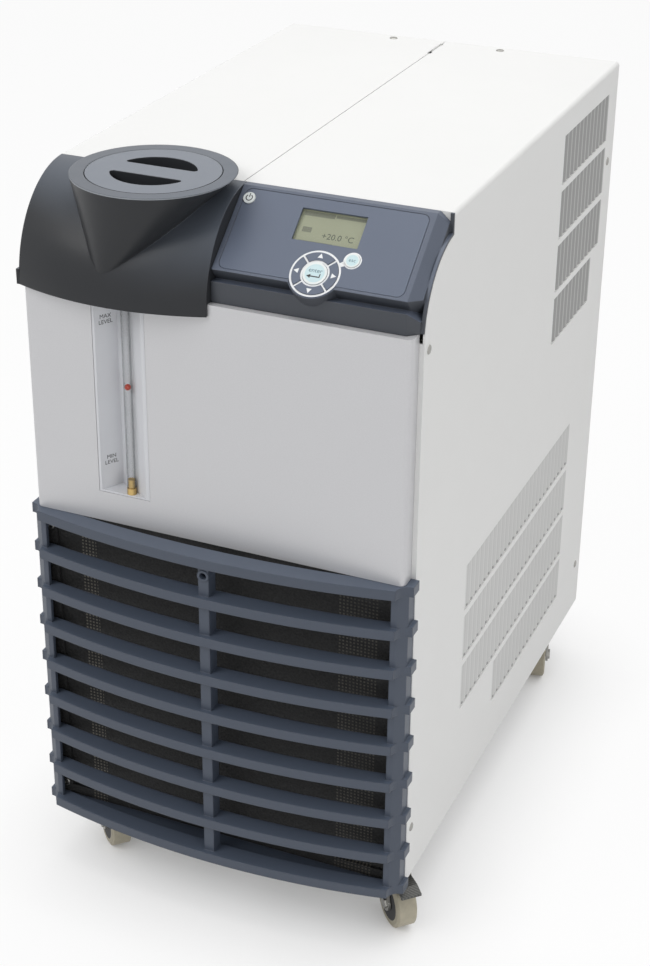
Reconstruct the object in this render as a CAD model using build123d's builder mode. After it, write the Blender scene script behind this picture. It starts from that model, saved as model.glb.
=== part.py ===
"""Recirculating chiller: a steel cabinet on braked casters with a moulded filler cover, a sloping control
desk, a level gauge, a bowed intake grille, and the cooling circuit inside.

Millimetres, +Z up, +X to the right seen from the front, front towards -Y, floor at Z 0.
"""
from math import acos, atan2, cos, degrees, hypot, radians, sin
import os

from build123d import *

os.makedirs("parts", exist_ok=True)

# Cabinet
case_width = 360.0
case_depth = 548.0
case_height = 692.0
ride_height = 66.0
sheet = 1.5
slip = 0.3
fold_radius = 4.0
flange = 14.0
front_reach = 43.75
rear_reach = 25.0
case_front = front_reach - (case_depth + front_reach + rear_reach) / 2
case_rear = case_front + case_depth
side_x = case_width / 2
inner_x = side_x - sheet
liner_x = inner_x - slip

# Rounded front shoulder of the side panels, where the moulded covers sit
shoulder_radius = 70.0
shoulder_z = case_height - 88.0
shoulder_step = 61.0
shoulder_turn = degrees(acos((shoulder_radius - shoulder_step) / shoulder_radius))
step_z = shoulder_z + shoulder_radius * sin(radians(shoulder_turn))

# Seam between the two top halves
seam_x = -4.5
seam_gap = 0.8
notch_width = 3.0
notch_length = 41.0
notch_from_rear = 10.0

# Side louvres: pressed vanes in rows, deep at the front edge, flush at the rear edge, open at the ends
vane_pitch = 12.5
vane_depth = 3.0
row_height = 48.0
row_pitch = 54.5
upper_rows = [(12, 0), (12, 0), (12, 0), (10, 0)]
upper_start = 368.0
upper_top = case_height - 25.0
lower_rows = [(26, 0), (26, 0), (26, 0), (18, 8)]
lower_start = 136.0
lower_top = 329.0

# Heights of the front: the metal panel between the grille and the moulded covers
panel_high = case_height - 80.5
panel_low = panel_high - 223.2

# Screws, in square punched holes
screw_hole = 4.2
screw_core = 1.8
screw_head_radius = 4.2
screw_head = 1.8
screw_length = 6.0
front_screw_y = 11.0
rear_screw_y = case_depth - 18.0
low_screw_z = 122.0
high_screw_z = shoulder_z - 10.0
top_screw_x = 58.0
top_screw_y = case_depth - 11.0
filter_screw_x = side_x - 11.0
filter_screw_low = 81.0
filter_screw_high = panel_low - 23.3
filter_screw_places = [
    (side * filter_screw_x, screw_z) for side in (-1, 1) for screw_z in (filter_screw_low, filter_screw_high)
]
side_screw_places = [
    (case_front + screw_y, screw_z)
    for screw_y in (front_screw_y, rear_screw_y)
    for screw_z in (low_screw_z, high_screw_z)
]

# Filler neck and the shroud round it, shared by the reservoir, the cover, the seal and the cap
neck_x = -66.8
neck_y = case_front + 20.0
neck_bore = 28.0
neck_wall = 2.5
neck_low = panel_high + slip
rim_radius = 37.0
rim_thickness = 3.0
seal_thickness = 3.0
ring_top = case_height + 12.5
neck_rim = ring_top - 21.5
ring_radius = 69.3
ring_hole = 57.0
ring_lip = 4.0
cap_radius = 56.2
shroud_low = panel_high + 10.5
shroud_low_radius = 6.0
shroud_low_x = neck_x - 26.2
shroud_low_y = case_front - 24.0
shroud_wall = 3.0


def shroud_circle(z):
    """Centre and radius of the leaning shroud cone at a height."""
    share = (ring_top - z) / (ring_top - shroud_low)
    x = neck_x + (shroud_low_x - neck_x) * share
    y = neck_y + (shroud_low_y - neck_y) * share
    return x, y, ring_radius + (shroud_low_radius - ring_radius) * share


def save(piece, label):
    piece.part.label = label
    export_step(piece.part, f"parts/{label}.step")


def tube(points, radius, bend):
    """Tube along straight runs, with each corner cut by one mitred run of its own."""
    stops = [Vector(*points[0])]
    for before, corner, after in zip(points, points[1:], points[2:]):
        for other in (before, after):
            stops.append(Vector(*corner) + (Vector(*other) - Vector(*corner)).normalized() * bend)
    stops.append(Vector(*points[-1]))
    with BuildPart() as run:
        with BuildLine() as route:
            Polyline(*stops)
        with BuildSketch(Plane(route.line @ 0, z_dir=stops[1] - stops[0])):
            Circle(radius)
        sweep(path=route.line, transition=Transition.RIGHT)
    return run.part


# Side and top wraps: each one is a side panel and half of the top, folded from one sheet
def louvre_rows():
    """Each louvre row as its first vane's edge, the height of its lower end and its count of vanes."""
    rows = []
    for counts, start, top in ((upper_rows, upper_start, upper_top), (lower_rows, lower_start, lower_top)):
        for index, (count, skipped) in enumerate(counts):
            row_y = case_front + start + skipped * vane_pitch
            rows.append((row_y, top - row_height - index * row_pitch, count))
    return rows


def wrap(side, label):
    outer = side * side_x
    inner = side * inner_x
    top_edge = seam_x + side * seam_gap / 2
    with BuildPart() as windows:
        for row_y, row_z, count in louvre_rows():
            with BuildSketch(Plane.XY.offset(row_z)):
                with Locations(((outer + inner) / 2, row_y + count * vane_pitch / 2)):
                    Rectangle(sheet, count * vane_pitch)
            extrude(amount=row_height)
    with BuildPart() as vanes:
        for row_y, row_z, count in louvre_rows():
            with BuildSketch(Plane.XY.offset(row_z)):
                with Locations(*[(0, row_y + turn * vane_pitch) for turn in range(count)]):
                    Polygon(
                        (outer - side * vane_depth, 0), (outer, vane_pitch), (inner, vane_pitch),
                        (inner - side * vane_depth, 0), align=None,
                    )
            extrude(amount=row_height)
    with BuildPart() as panel:
        with BuildSketch(Plane.XZ.offset(-case_front)) as section:
            with BuildLine():
                Polyline(
                    (outer, ride_height), (outer, case_height), (top_edge, case_height),
                    (top_edge, case_height - sheet), (inner, case_height - sheet), (inner, ride_height),
                    close=True,
                )
            make_face()
            top_corners = section.vertices().group_by(Axis.Y)[-1].sort_by(Axis.X)
            fillet(top_corners[-1 if side > 0 else 0], fold_radius)
        extrude(amount=-case_depth)
        with BuildSketch(Plane.YZ):
            with BuildLine():
                arc = CenterArc(
                    (case_front + shoulder_radius, shoulder_z), shoulder_radius, 180, -shoulder_turn
                )
                Polyline(
                    arc @ 1, (case_front + shoulder_step, case_height + 1),
                    (case_front - 1, case_height + 1), (case_front - 1, shoulder_z), arc @ 0,
                )
            make_face()
        extrude(amount=side_x + 1, both=True, mode=Mode.SUBTRACT)
        # Folded returns at the front and rear edges of the side and the front edge of the top
        with BuildSketch(Plane.XY.offset(ride_height)):
            with Locations((side * (inner_x - flange / 2), case_front + sheet / 2)):
                Rectangle(flange, sheet)
        extrude(amount=shoulder_z - ride_height - sheet)
        with BuildSketch(Plane.XY.offset(ride_height)):
            with Locations((side * (inner_x - flange / 2), case_rear - sheet / 2)):
                Rectangle(flange, sheet)
        extrude(amount=case_height - sheet - ride_height)
        with BuildSketch(Plane.XY.offset(step_z + sheet)):
            with Locations(((inner + top_edge) / 2, case_front + shoulder_step + sheet / 2)):
                Rectangle(abs(inner - top_edge), sheet)
        extrude(amount=case_height - 2 * sheet - step_z)
        # Lifting notch at the rear of the seam
        with BuildSketch(Plane.XY.offset(case_height)):
            with Locations((top_edge, case_rear - notch_from_rear - notch_length / 2)):
                Rectangle(notch_width, notch_length)
        extrude(amount=-sheet, mode=Mode.SUBTRACT)
        # Screw holes
        with BuildSketch(Plane.YZ):
            with Locations(*side_screw_places):
                Rectangle(screw_hole, screw_hole)
        extrude(amount=side * case_width, mode=Mode.SUBTRACT)
        with Locations((side * top_screw_x, case_front + top_screw_y, case_height)):
            Box(screw_hole, screw_hole, 4 * sheet, mode=Mode.SUBTRACT)
        with BuildSketch(Plane.XZ.offset(-case_front)):
            with Locations(*filter_screw_places):
                Rectangle(screw_hole, screw_hole)
        extrude(amount=-sheet, mode=Mode.SUBTRACT)
        # Round cut-out that clears the shroud of the filler neck
        if side < 0:
            x, y, radius = shroud_circle(case_height)
            with BuildSketch(Plane.XY.offset(case_height)):
                with Locations((x, y)):
                    Circle(radius + 2 * slip)
            extrude(amount=step_z - case_height, mode=Mode.SUBTRACT)
        add(windows.part, mode=Mode.SUBTRACT)
        add(vanes.part)
    save(panel, label)


wrap(-1, "left_wrap")
wrap(1, "right_wrap")

# Base pan: a folded tray that carries the compressor, pump and casters
pan_flange = 24.0
bulkhead_face = case_front + sheet + slip
bulkhead_back = bulkhead_face + sheet
rear_face = case_rear - sheet - slip
rear_inner = rear_face - sheet
pan_front = bulkhead_back + slip
pan_rear = rear_inner - slip
pan_floor = ride_height + sheet
with BuildPart() as base_pan:
    with BuildSketch(Plane.XY.offset(ride_height)):
        with Locations((0, (pan_front + pan_rear) / 2)):
            Rectangle(2 * liner_x, pan_rear - pan_front)
    extrude(amount=pan_flange)
    offset(amount=-sheet, openings=base_pan.faces().sort_by(Axis.Z)[-1])
save(base_pan, "base_pan")

# Front bulkhead: frames the intake and carries the shelf for the reservoir and the electrical box
bulkhead_top = shoulder_z - 4.0
side_flange = 22.0
flange_low = ride_height + pan_flange + slip
intake_half = side_x - 25.0
intake_low = 92.0
intake_high = panel_low - 14.3
shelf_z = panel_low + 11.7
shelf_depth = 157.0
gauge_left = -111.0
gauge_right = -61.0
gauge_floor = shelf_z + 19.0
gauge_apex_x = -97.0
gauge_apex = 2.0
channel_wall = 1.8
channel_slot_half = 12.0
tube_x = -81.0
tube_y = case_front - 12.3
elbow_z = gauge_floor - 10.0
tank_front = bulkhead_back + 4.0
elbow_radius = 2.0
elbow_bend = 6.0
with BuildPart() as bulkhead:
    with BuildSketch(Plane.XZ.offset(-bulkhead_face)):
        with Locations((0, (ride_height + bulkhead_top) / 2)):
            Rectangle(2 * liner_x, bulkhead_top - ride_height)
        with Locations((0, (intake_low + intake_high) / 2)):
            Rectangle(2 * intake_half, intake_high - intake_low, mode=Mode.SUBTRACT)
        with Locations((gauge_apex_x, (gauge_floor - 2 * channel_wall + bulkhead_top) / 2)):
            Rectangle(
                2 * channel_slot_half, bulkhead_top - gauge_floor + 2 * channel_wall, mode=Mode.SUBTRACT
            )
        with Locations((tube_x, elbow_z)):
            Circle(elbow_radius + slip, mode=Mode.SUBTRACT)
        with Locations(*filter_screw_places):
            Rectangle(screw_hole, screw_hole, mode=Mode.SUBTRACT)
    extrude(amount=-sheet)
    with BuildSketch(Plane.XY.offset(flange_low)):
        for side in (-1, 1):
            with Locations((side * (liner_x - sheet / 2), bulkhead_face + side_flange / 2)):
                Rectangle(sheet, side_flange)
    extrude(amount=bulkhead_top - flange_low)
    with BuildSketch(Plane.XY.offset(shelf_z)):
        with Locations((0, bulkhead_back + shelf_depth / 2)):
            Rectangle(2 * (liner_x - sheet - slip), shelf_depth)
    extrude(amount=-sheet)
    with BuildSketch(Plane.YZ.offset(-side_x)):
        with Locations(*[place for place in side_screw_places if place[0] < 0]):
            Rectangle(screw_hole, screw_hole)
    extrude(amount=case_width, mode=Mode.SUBTRACT)
save(bulkhead, "front_bulkhead")

# Rear panel: folded sheet with an exhaust grid and the service openings
port_x = (60.0 - side_x, 110.0 - side_x)
port_z = case_height - 132.0
port_hole = 15.3
inlet_x = 90.0
inlet_z = 170.0
inlet_width = 50.0
inlet_height = 32.0
slot_width = 62.0
slot_height = 6.0
slot_pitch = 14.0
slot_rows = 11
slot_columns = 4
slot_column_pitch = 74.0
slots_z = 330.0
top_flange = 34.0
with BuildPart() as rear_panel:
    with BuildSketch(Plane.XZ.offset(-rear_inner)):
        with Locations((0, (ride_height + case_height - sheet - slip) / 2)):
            Rectangle(2 * liner_x, case_height - sheet - slip - ride_height)
        with Locations(*[(x, port_z) for x in port_x]):
            Circle(port_hole, mode=Mode.SUBTRACT)
        with Locations((inlet_x, inlet_z)):
            Rectangle(inlet_width + 2 * slip, inlet_height + 2 * slip, mode=Mode.SUBTRACT)
        with Locations((0, slots_z)):
            with GridLocations(slot_column_pitch, slot_pitch, slot_columns, slot_rows):
                Rectangle(slot_width, slot_height, mode=Mode.SUBTRACT)
    extrude(amount=-sheet)
    with BuildSketch(Plane.XY.offset(flange_low)):
        for side in (-1, 1):
            with Locations((side * (liner_x - sheet / 2), rear_inner - side_flange / 2)):
                Rectangle(sheet, side_flange)
    extrude(amount=case_height - sheet - slip - flange_low)
    with BuildSketch(Plane.XY.offset(case_height - sheet - slip)):
        with Locations((0, rear_inner - top_flange / 2)):
            Rectangle(2 * liner_x, top_flange)
    extrude(amount=-sheet)
    with BuildSketch(Plane.YZ.offset(-side_x)):
        with Locations(*[place for place in side_screw_places if place[0] > 0]):
            Rectangle(screw_hole, screw_hole)
    extrude(amount=case_width, mode=Mode.SUBTRACT)
    with Locations(*[(side * top_screw_x, case_front + top_screw_y, case_height) for side in (-1, 1)]):
        Box(screw_hole, screw_hole, 6 * sheet, mode=Mode.SUBTRACT)
save(rear_panel, "rear_panel")

# Front panel: satin metal pan with a notch for the level gauge
panel_proud = 16.6
panel_half = side_x - 4.2
panel_wall = 2.0
panel_corner = 5.0
panel_back = case_front - slip
panel_face = case_front - panel_proud
with BuildPart() as front_panel:
    with BuildSketch(Plane.XZ.offset(-panel_face)):
        with Locations((0, (panel_low + panel_high) / 2)):
            Rectangle(2 * panel_half, panel_high - panel_low)
    extrude(amount=panel_face - panel_back)
    fillet(front_panel.edges().filter_by(Axis.Z).group_by(Axis.Y)[0], panel_corner)
    offset(amount=-panel_wall, openings=front_panel.faces().sort_by(Axis.Y)[-1])
    with BuildSketch(Plane.XZ.offset(-panel_face + 1)):
        with Locations(((gauge_left + gauge_right) / 2, (gauge_floor - channel_wall + panel_high + 1) / 2)):
            Rectangle(gauge_right - gauge_left, panel_high + 1 - gauge_floor + channel_wall)
    extrude(amount=panel_face - panel_back - 2, mode=Mode.SUBTRACT)
save(front_panel, "front_panel")

# Gauge channel: V-shaped white moulding behind the notch, with a floor
channel_front = panel_face + slip
channel_left = gauge_left + slip
channel_right = gauge_right - slip
channel_left_edge = 2.2
channel_right_edge = 3.6
with BuildPart() as gauge_channel:
    with BuildSketch(Plane.XY.offset(gauge_floor)):
        with BuildLine():
            Polyline(
                (channel_left, channel_front), (gauge_apex_x, case_front + gauge_apex + channel_wall),
                (channel_right, channel_front), close=True,
            )
        make_face()
        with BuildLine():
            Polyline(
                (channel_left + channel_left_edge, channel_front - 1),
                (channel_left + channel_left_edge, channel_front),
                (gauge_apex_x, case_front + gauge_apex),
                (channel_right - channel_right_edge, channel_front),
                (channel_right - channel_right_edge, channel_front - 1), close=True,
            )
        make_face(mode=Mode.SUBTRACT)
    extrude(amount=bulkhead_top - gauge_floor)
    with BuildSketch(Plane.XY.offset(gauge_floor)):
        with BuildLine():
            Polyline(
                (channel_left, channel_front), (gauge_apex_x, case_front + gauge_apex + channel_wall),
                (channel_right, channel_front), close=True,
            )
        make_face()
        with Locations((tube_x, tube_y)):
            Circle(elbow_radius + slip, mode=Mode.SUBTRACT)
    extrude(amount=-channel_wall + slip)
save(gauge_channel, "gauge_channel")

# Level gauge: clear tube on a brass fitting, with a red float ball inside
tube_radius = 4.0
tube_bore = 3.3
fitting_height = 6.0
fitting_radius = 4.2
barb_length = 8.0
barb_play = 0.1
float_radius = 2.8
float_z = gauge_floor + 102.0
with BuildPart() as gauge_fitting:
    with Locations((tube_x, tube_y, gauge_floor)):
        Cylinder(fitting_radius, fitting_height, align=(Align.CENTER, Align.CENTER, Align.MIN))
        Cylinder(
            tube_bore - barb_play, fitting_height + barb_length,
            align=(Align.CENTER, Align.CENTER, Align.MIN),
        )
    add(
        tube(
            [(tube_x, tube_y, gauge_floor), (tube_x, tube_y, elbow_z), (tube_x, tank_front, elbow_z)],
            elbow_radius, elbow_bend,
        )
    )
save(gauge_fitting, "gauge_fitting")

with BuildPart() as sight_tube:
    with BuildSketch(Plane.XY.offset(gauge_floor + fitting_height)):
        with Locations((tube_x, tube_y)):
            Circle(tube_radius)
            Circle(tube_bore, mode=Mode.SUBTRACT)
    extrude(amount=neck_low - gauge_floor - fitting_height)
save(sight_tube, "sight_tube")

with BuildPart() as float_ball:
    with Locations((tube_x, tube_y, float_z)):
        Sphere(float_radius)
save(float_ball, "float_ball")

# Reservoir: moulded tank on the shelf, with a forward-set filler neck
tank_left = 30.0 - side_x
tank_right = -12.0
tank_rear = bulkhead_back + shelf_depth - 4.0
tank_top = neck_low + 28.2
tank_wall = 3.0
tank_corner = 12.0
tube_boss = 6.0
tube_boss_height = 8.0
with BuildPart() as reservoir:
    with BuildSketch(Plane.XY.offset(shelf_z)):
        with Locations(((tank_left + tank_right) / 2, (tank_front + tank_rear) / 2)):
            RectangleRounded(tank_right - tank_left, tank_rear - tank_front, tank_corner)
    extrude(amount=tank_top - shelf_z)
    with BuildSketch(Plane.XY.offset(neck_low)):
        with Locations((neck_x, neck_y)):
            Circle(neck_bore + neck_wall)
    extrude(amount=neck_rim - neck_low)
    with BuildSketch(Plane.XY.offset(neck_rim)):
        with Locations((neck_x, neck_y)):
            Circle(rim_radius)
    extrude(amount=-rim_thickness)
    # Boss that closes the top of the sight tube
    with BuildSketch(Plane.XY.offset(neck_low)):
        with Locations((tube_x, (tube_y + tank_front) / 2)):
            Rectangle(2 * tube_boss, tank_front - tube_y + 2 * tube_boss)
    extrude(amount=tube_boss_height)
    with BuildSketch(Plane.XY.offset(shelf_z + tank_wall)):
        with Locations(((tank_left + tank_right) / 2, (tank_front + tank_rear) / 2)):
            RectangleRounded(
                tank_right - tank_left - 2 * tank_wall, tank_rear - tank_front - 2 * tank_wall,
                tank_corner - tank_wall,
            )
    extrude(amount=tank_top - shelf_z - 2 * tank_wall, mode=Mode.SUBTRACT)
    with BuildSketch(Plane.XY.offset(neck_low + tank_wall)):
        with Locations((neck_x, neck_y)):
            Circle(neck_bore)
    extrude(amount=neck_rim - neck_low, mode=Mode.SUBTRACT)
save(reservoir, "reservoir")

# Filler cap: disc over a body with two half-moon finger pockets, and a plug with a skirt
cap_low = neck_rim + seal_thickness
disc_low = ring_top - 6.5
plug_radius = neck_bore - 2.5
cap_body_radius = 39.0
pocket_radius = 36.0
handle_half = 12.0
pocket_corner = 3.0
pocket_floor = ring_top - 14.5
plug_low = neck_rim - 2.0
skirt_low = neck_rim - 15.0
skirt_wall = 3.0
with BuildPart() as filler_cap:
    with BuildSketch(Plane.XY.offset(disc_low)):
        with Locations((neck_x, neck_y)):
            Circle(cap_radius)
    extrude(amount=ring_top - disc_low)
    with BuildSketch(Plane.XY.offset(cap_low)):
        with Locations((neck_x, neck_y)):
            Circle(cap_body_radius)
    extrude(amount=disc_low - cap_low)
    with BuildSketch(Plane.XY.offset(skirt_low)):
        with Locations((neck_x, neck_y)):
            Circle(plug_radius)
    extrude(amount=cap_low - skirt_low)
    with BuildSketch(Plane.XY.offset(skirt_low)):
        with Locations((neck_x, neck_y)):
            Circle(plug_radius - skirt_wall)
    extrude(amount=plug_low - skirt_low, mode=Mode.SUBTRACT)
    with BuildSketch(Plane.XY.offset(pocket_floor)) as pockets:
        with Locations((neck_x, neck_y)):
            Circle(pocket_radius)
            Rectangle(2 * pocket_radius, 2 * handle_half, mode=Mode.SUBTRACT)
        fillet(pockets.vertices(), pocket_corner)
    extrude(amount=ring_top - pocket_floor, mode=Mode.SUBTRACT)
save(filler_cap, "filler_cap")

with BuildPart() as cap_seal:
    with BuildSketch(Plane.XY.offset(neck_rim)):
        with Locations((neck_x, neck_y)):
            Circle(rim_radius - slip)
            Circle(neck_bore + 2 * slip, mode=Mode.SUBTRACT)
    extrude(amount=seal_thickness)
save(cap_seal, "cap_seal")

# Filler cover: bowed quarter-round shell with a conical shroud round the filler neck
cover_left = 3.0 - side_x
skirt_reach = 2.7
cover_right = -1.8
cover_low = panel_high - 10.0
skirt_high = cover_low + 13.5
cover_reach = 19.5
cover_bow = 16.5
cover_wall = 2.2
cover_back = case_front + shoulder_step - slip
cover_spring = cover_low + 2.0
cover_sections = 5


def cover_section(x, inset):
    """Quarter-round profile of the cover at one station along X, open past its edges when inset."""
    middle = (cover_left + cover_right) / 2
    bow = cover_bow * (1 - (2 * (x - middle) / (cover_right - cover_left)) ** 2)
    front = case_front - cover_reach - bow + inset
    back = cover_back + inset
    low = cover_low - inset
    with BuildSketch(Plane.YZ.offset(x)) as station:
        with BuildLine():
            round_edge = EllipticalCenterArc(
                (back, cover_spring), back - front, case_height - inset - cover_spring,
                start_angle=90, arc_size=90,
            )
            Polyline(round_edge @ 1, (front, low), (back, low), round_edge @ 0)
        make_face()
    return station.sketch


def cover_body(inset):
    """Solid form of the cover, inset from its outer surface by the given amount."""
    start = cover_left + inset
    length = cover_right - cover_left - 2 * inset
    with BuildPart() as body:
        for step in range(cover_sections):
            add(cover_section(start + step * length / (cover_sections - 1), inset))
        loft()
    return body.part


def shroud_body(inset, low):
    """Leaning cone between the ring and its tip, inset by the given amount."""
    with BuildPart() as body:
        for z in (ring_top, low):
            x, y, radius = shroud_circle(z)
            with BuildSketch(Plane.XY.offset(z)):
                with Locations((x, y)):
                    Circle(radius - inset)
        loft()
    return body.part


with BuildPart() as cover_inside:
    add(cover_body(cover_wall))
    add(shroud_body(shroud_wall, shroud_low + 2 * shroud_wall))

with BuildPart() as filler_cover:
    add(cover_body(0))
    add(shroud_body(0, shroud_low))
    with BuildPart(mode=Mode.PRIVATE) as ring_band:
        with BuildSketch(Plane.XY.offset(ring_top)):
            with Locations((neck_x, neck_y)):
                Circle(ring_radius)
        extrude(amount=-ring_lip)
    add(cover_inside.part - ring_band.part, mode=Mode.SUBTRACT)
    with BuildSketch(Plane.XY.offset(ring_top)):
        with Locations((neck_x, neck_y)):
            Circle(ring_hole)
    extrude(amount=-ring_lip, mode=Mode.SUBTRACT)
    # Ends cleared over the top of the front panel
    with BuildSketch(Plane.YZ.offset(cover_left), Plane.YZ.offset(cover_right - 2 * cover_wall)):
        with Locations(((panel_face - slip + cover_back + 1) / 2, (cover_low - 1 + neck_low) / 2)):
            Rectangle(cover_back + 1 - panel_face + slip, neck_low - cover_low + 1)
    extrude(amount=2 * cover_wall, mode=Mode.SUBTRACT)
    # Wider skirt at the left end, in front of the side panel
    with BuildSketch(Plane.XY.offset(cover_low)):
        with Locations((cover_left - skirt_reach / 2, case_front - cover_reach / 2 - slip)):
            Rectangle(skirt_reach, cover_reach - 2 * slip)
    extrude(amount=skirt_high - cover_low)
save(filler_cover, "filler_cover")

# Console: sloping control desk moulded over the right half of the shoulder
console_left = -1.5
console_right = side_x - 3.0
console_low = panel_high + slip
fascia_y = case_front - 10.5
fascia_top = panel_high + 18.5
desk_low_y = case_front - 9.5
desk_low_z = fascia_top + 10.0
desk_high_y = case_front + 54.0
lip_depth = 13.5
console_wall = 3.5
cheek_run = 9.0
cheek_inset = 8.0
band_wall = 2.0
desk_length = hypot(desk_high_y - desk_low_y, case_height - desk_low_z)
desk_tilt = degrees(atan2(case_height - desk_low_z, desk_high_y - desk_low_y))
desk_normal = (0, -sin(radians(desk_tilt)), cos(radians(desk_tilt)))
lip_y = desk_low_y - lip_depth * desk_normal[1]
lip_z = desk_low_z - lip_depth * desk_normal[2]
desk_plane = Plane(origin=(0, desk_low_y, desk_low_z), x_dir=(1, 0, 0), z_dir=desk_normal)

# Desk layout: X along the desk and height up the slope from its lower edge
wheel_x = 86.0
wheel_s = 11.3
bulge_radius = 22.8
bulge_depth = 34.0
overlay_left = 3.0
overlay_right = console_right - 14.0
overlay_margin = 3.0
overlay_corner = 6.0
overlay_thickness = 2.0
lobe_radius = 21.8
groove = 0.4
lcd_left = 56.0
lcd_right = 113.0
lcd_low = 39.0
lcd_high = 69.0
window_lap = 2.2
window_thickness = console_wall - overlay_thickness
escape_x = 112.8
escape_s = 27.9
escape_radius = 6.2
power_x = 7.8
power_s = 70.0
power_radius = 5.2
enter_radius = 10.2
key_inner = 12.3
key_outer = 19.3
key_gap = 2.2
key_proud = 0.8
key_travel = 0.7
key_stem_width = 3.0
board_drop = 9.0
board_thickness = 1.6
key_stem = board_drop - key_travel - slip
lcd_x = (lcd_left + lcd_right) / 2
lcd_s = (lcd_low + lcd_high) / 2


def console_body(inset):
    """Console form with its tapered cheek; an inset form runs past the open bottom and back."""
    back = cover_back + 4 * inset
    low = console_low - 4 * inset
    with BuildPart() as body:
        with BuildSketch(Plane.YZ.offset(console_left + inset)):
            with BuildLine():
                Polyline(
                    (fascia_y, low), (fascia_y, fascia_top), (lip_y, lip_z), (desk_low_y, desk_low_z),
                    (desk_high_y, case_height), (back, case_height), (back, low), close=True,
                )
            make_face()
            if inset > 0:
                offset(amount=-inset, kind=Kind.INTERSECTION)
        extrude(amount=console_right - console_left - 2 * inset)
        end_face = body.faces().sort_by(Axis.X)[-1]
        cheek_edges = end_face.edges().filter_by(
            lambda edge: edge.center().Z > low + inset + 1 and edge.center().Y < back - inset - 1
        )
        chamfer(cheek_edges, cheek_inset, cheek_run, reference=end_face)
    return body.part


def key_sector(turn, grow):
    """One quadrant of the navigation pad, grown on every side by a clearance."""
    Circle(key_outer + grow)
    Circle(key_inner - grow, mode=Mode.SUBTRACT)
    reach = 2 * key_outer
    edge = (key_gap / 2 - grow) * 2 ** 0.5
    corner = Vector(edge, 0).rotate(Axis.Z, turn)
    left = Vector(edge + reach, reach).rotate(Axis.Z, turn)
    right = Vector(edge + reach, -reach).rotate(Axis.Z, turn)
    Polygon(tuple(corner)[:2], tuple(right)[:2], tuple(left)[:2], align=None, mode=Mode.INTERSECT)


sector_turns = {"right_key": 0, "up_key": 90, "left_key": 180, "down_key": 270}
round_keys = {
    "enter_key": (wheel_x, wheel_s, enter_radius),
    "escape_key": (escape_x, escape_s, escape_radius),
    "power_key": (power_x, power_s, power_radius),
}
pad_centre = desk_plane.from_local_coords(Vector(wheel_x, wheel_s, 0))
pad_plane = Plane(pad_centre, x_dir=(1, 0, 0), z_dir=desk_normal)

# Openings for the keys, used by both the housing and the overlay
with BuildPart() as key_openings:
    for turn in sector_turns.values():
        with BuildSketch(pad_plane.offset(1)):
            key_sector(turn, slip)
        extrude(amount=-console_wall - 2)
    for x, s, radius in round_keys.values():
        with BuildSketch(desk_plane.offset(1)):
            with Locations((x, s)):
                Circle(radius + slip)
        extrude(amount=-console_wall - 2)

with BuildPart() as console_inside:
    add(console_body(console_wall))
    with BuildSketch(desk_plane.offset(-console_wall)):
        with Locations((wheel_x, wheel_s)):
            Circle(bulge_radius - console_wall)
    extrude(amount=-bulge_depth)

with BuildPart() as console_housing:
    add(console_body(0))
    with BuildSketch(desk_plane):
        with Locations((wheel_x, wheel_s)):
            Circle(bulge_radius)
    extrude(amount=-bulge_depth)
    add(console_inside.part, mode=Mode.SUBTRACT)
    # Recess that holds the overlay flush with the desk
    with BuildSketch(desk_plane):
        with Locations(((overlay_left + overlay_right) / 2, desk_length / 2)):
            RectangleRounded(
                overlay_right - overlay_left + 2 * groove, desk_length - 2 * overlay_margin + 2 * groove,
                overlay_corner + groove,
            )
        with Locations((wheel_x, wheel_s)):
            Circle(lobe_radius + groove)
    extrude(amount=-overlay_thickness, mode=Mode.SUBTRACT)
    # Window opening and key openings
    with BuildSketch(desk_plane):
        with Locations((lcd_x, lcd_s)):
            Rectangle(
                lcd_right - lcd_left + 2 * (window_lap + slip), lcd_high - lcd_low + 2 * (window_lap + slip)
            )
    extrude(amount=-2 * console_wall, mode=Mode.SUBTRACT)
    add(key_openings.part, mode=Mode.SUBTRACT)
    # Rim that follows the rounded shoulder of the side panel
    with BuildSketch(Plane.YZ.offset(console_right)):
        with Locations((case_front + shoulder_radius, shoulder_z)):
            Circle(shoulder_radius + slip + band_wall)
        with Locations((cover_back - band_wall / 2, (shoulder_z + case_height) / 2)):
            Rectangle(band_wall, case_height - shoulder_z)
        with Locations((case_front + shoulder_radius, shoulder_z)):
            Circle(shoulder_radius + slip, mode=Mode.SUBTRACT)
        with Locations((cover_back - shoulder_radius / 2, (console_low + case_height) / 2)):
            Rectangle(shoulder_radius, case_height - console_low, mode=Mode.INTERSECT)
    extrude(amount=side_x - console_right)
save(console_housing, "console_housing")

with BuildPart() as console_overlay:
    with BuildSketch(desk_plane):
        with Locations(((overlay_left + overlay_right) / 2, desk_length / 2)):
            RectangleRounded(
                overlay_right - overlay_left, desk_length - 2 * overlay_margin, overlay_corner
            )
        with Locations((wheel_x, wheel_s)):
            Circle(lobe_radius)
        with Locations((lcd_x, lcd_s)):
            Rectangle(lcd_right - lcd_left, lcd_high - lcd_low, mode=Mode.SUBTRACT)
    extrude(amount=-overlay_thickness)
    add(key_openings.part, mode=Mode.SUBTRACT)
save(console_overlay, "console_overlay")

with BuildPart() as display_window:
    with BuildSketch(desk_plane.offset(-overlay_thickness)):
        with Locations((lcd_x, lcd_s)):
            Rectangle(lcd_right - lcd_left + 2 * window_lap, lcd_high - lcd_low + 2 * window_lap)
    extrude(amount=-window_thickness)
save(display_window, "display_window")

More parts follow.
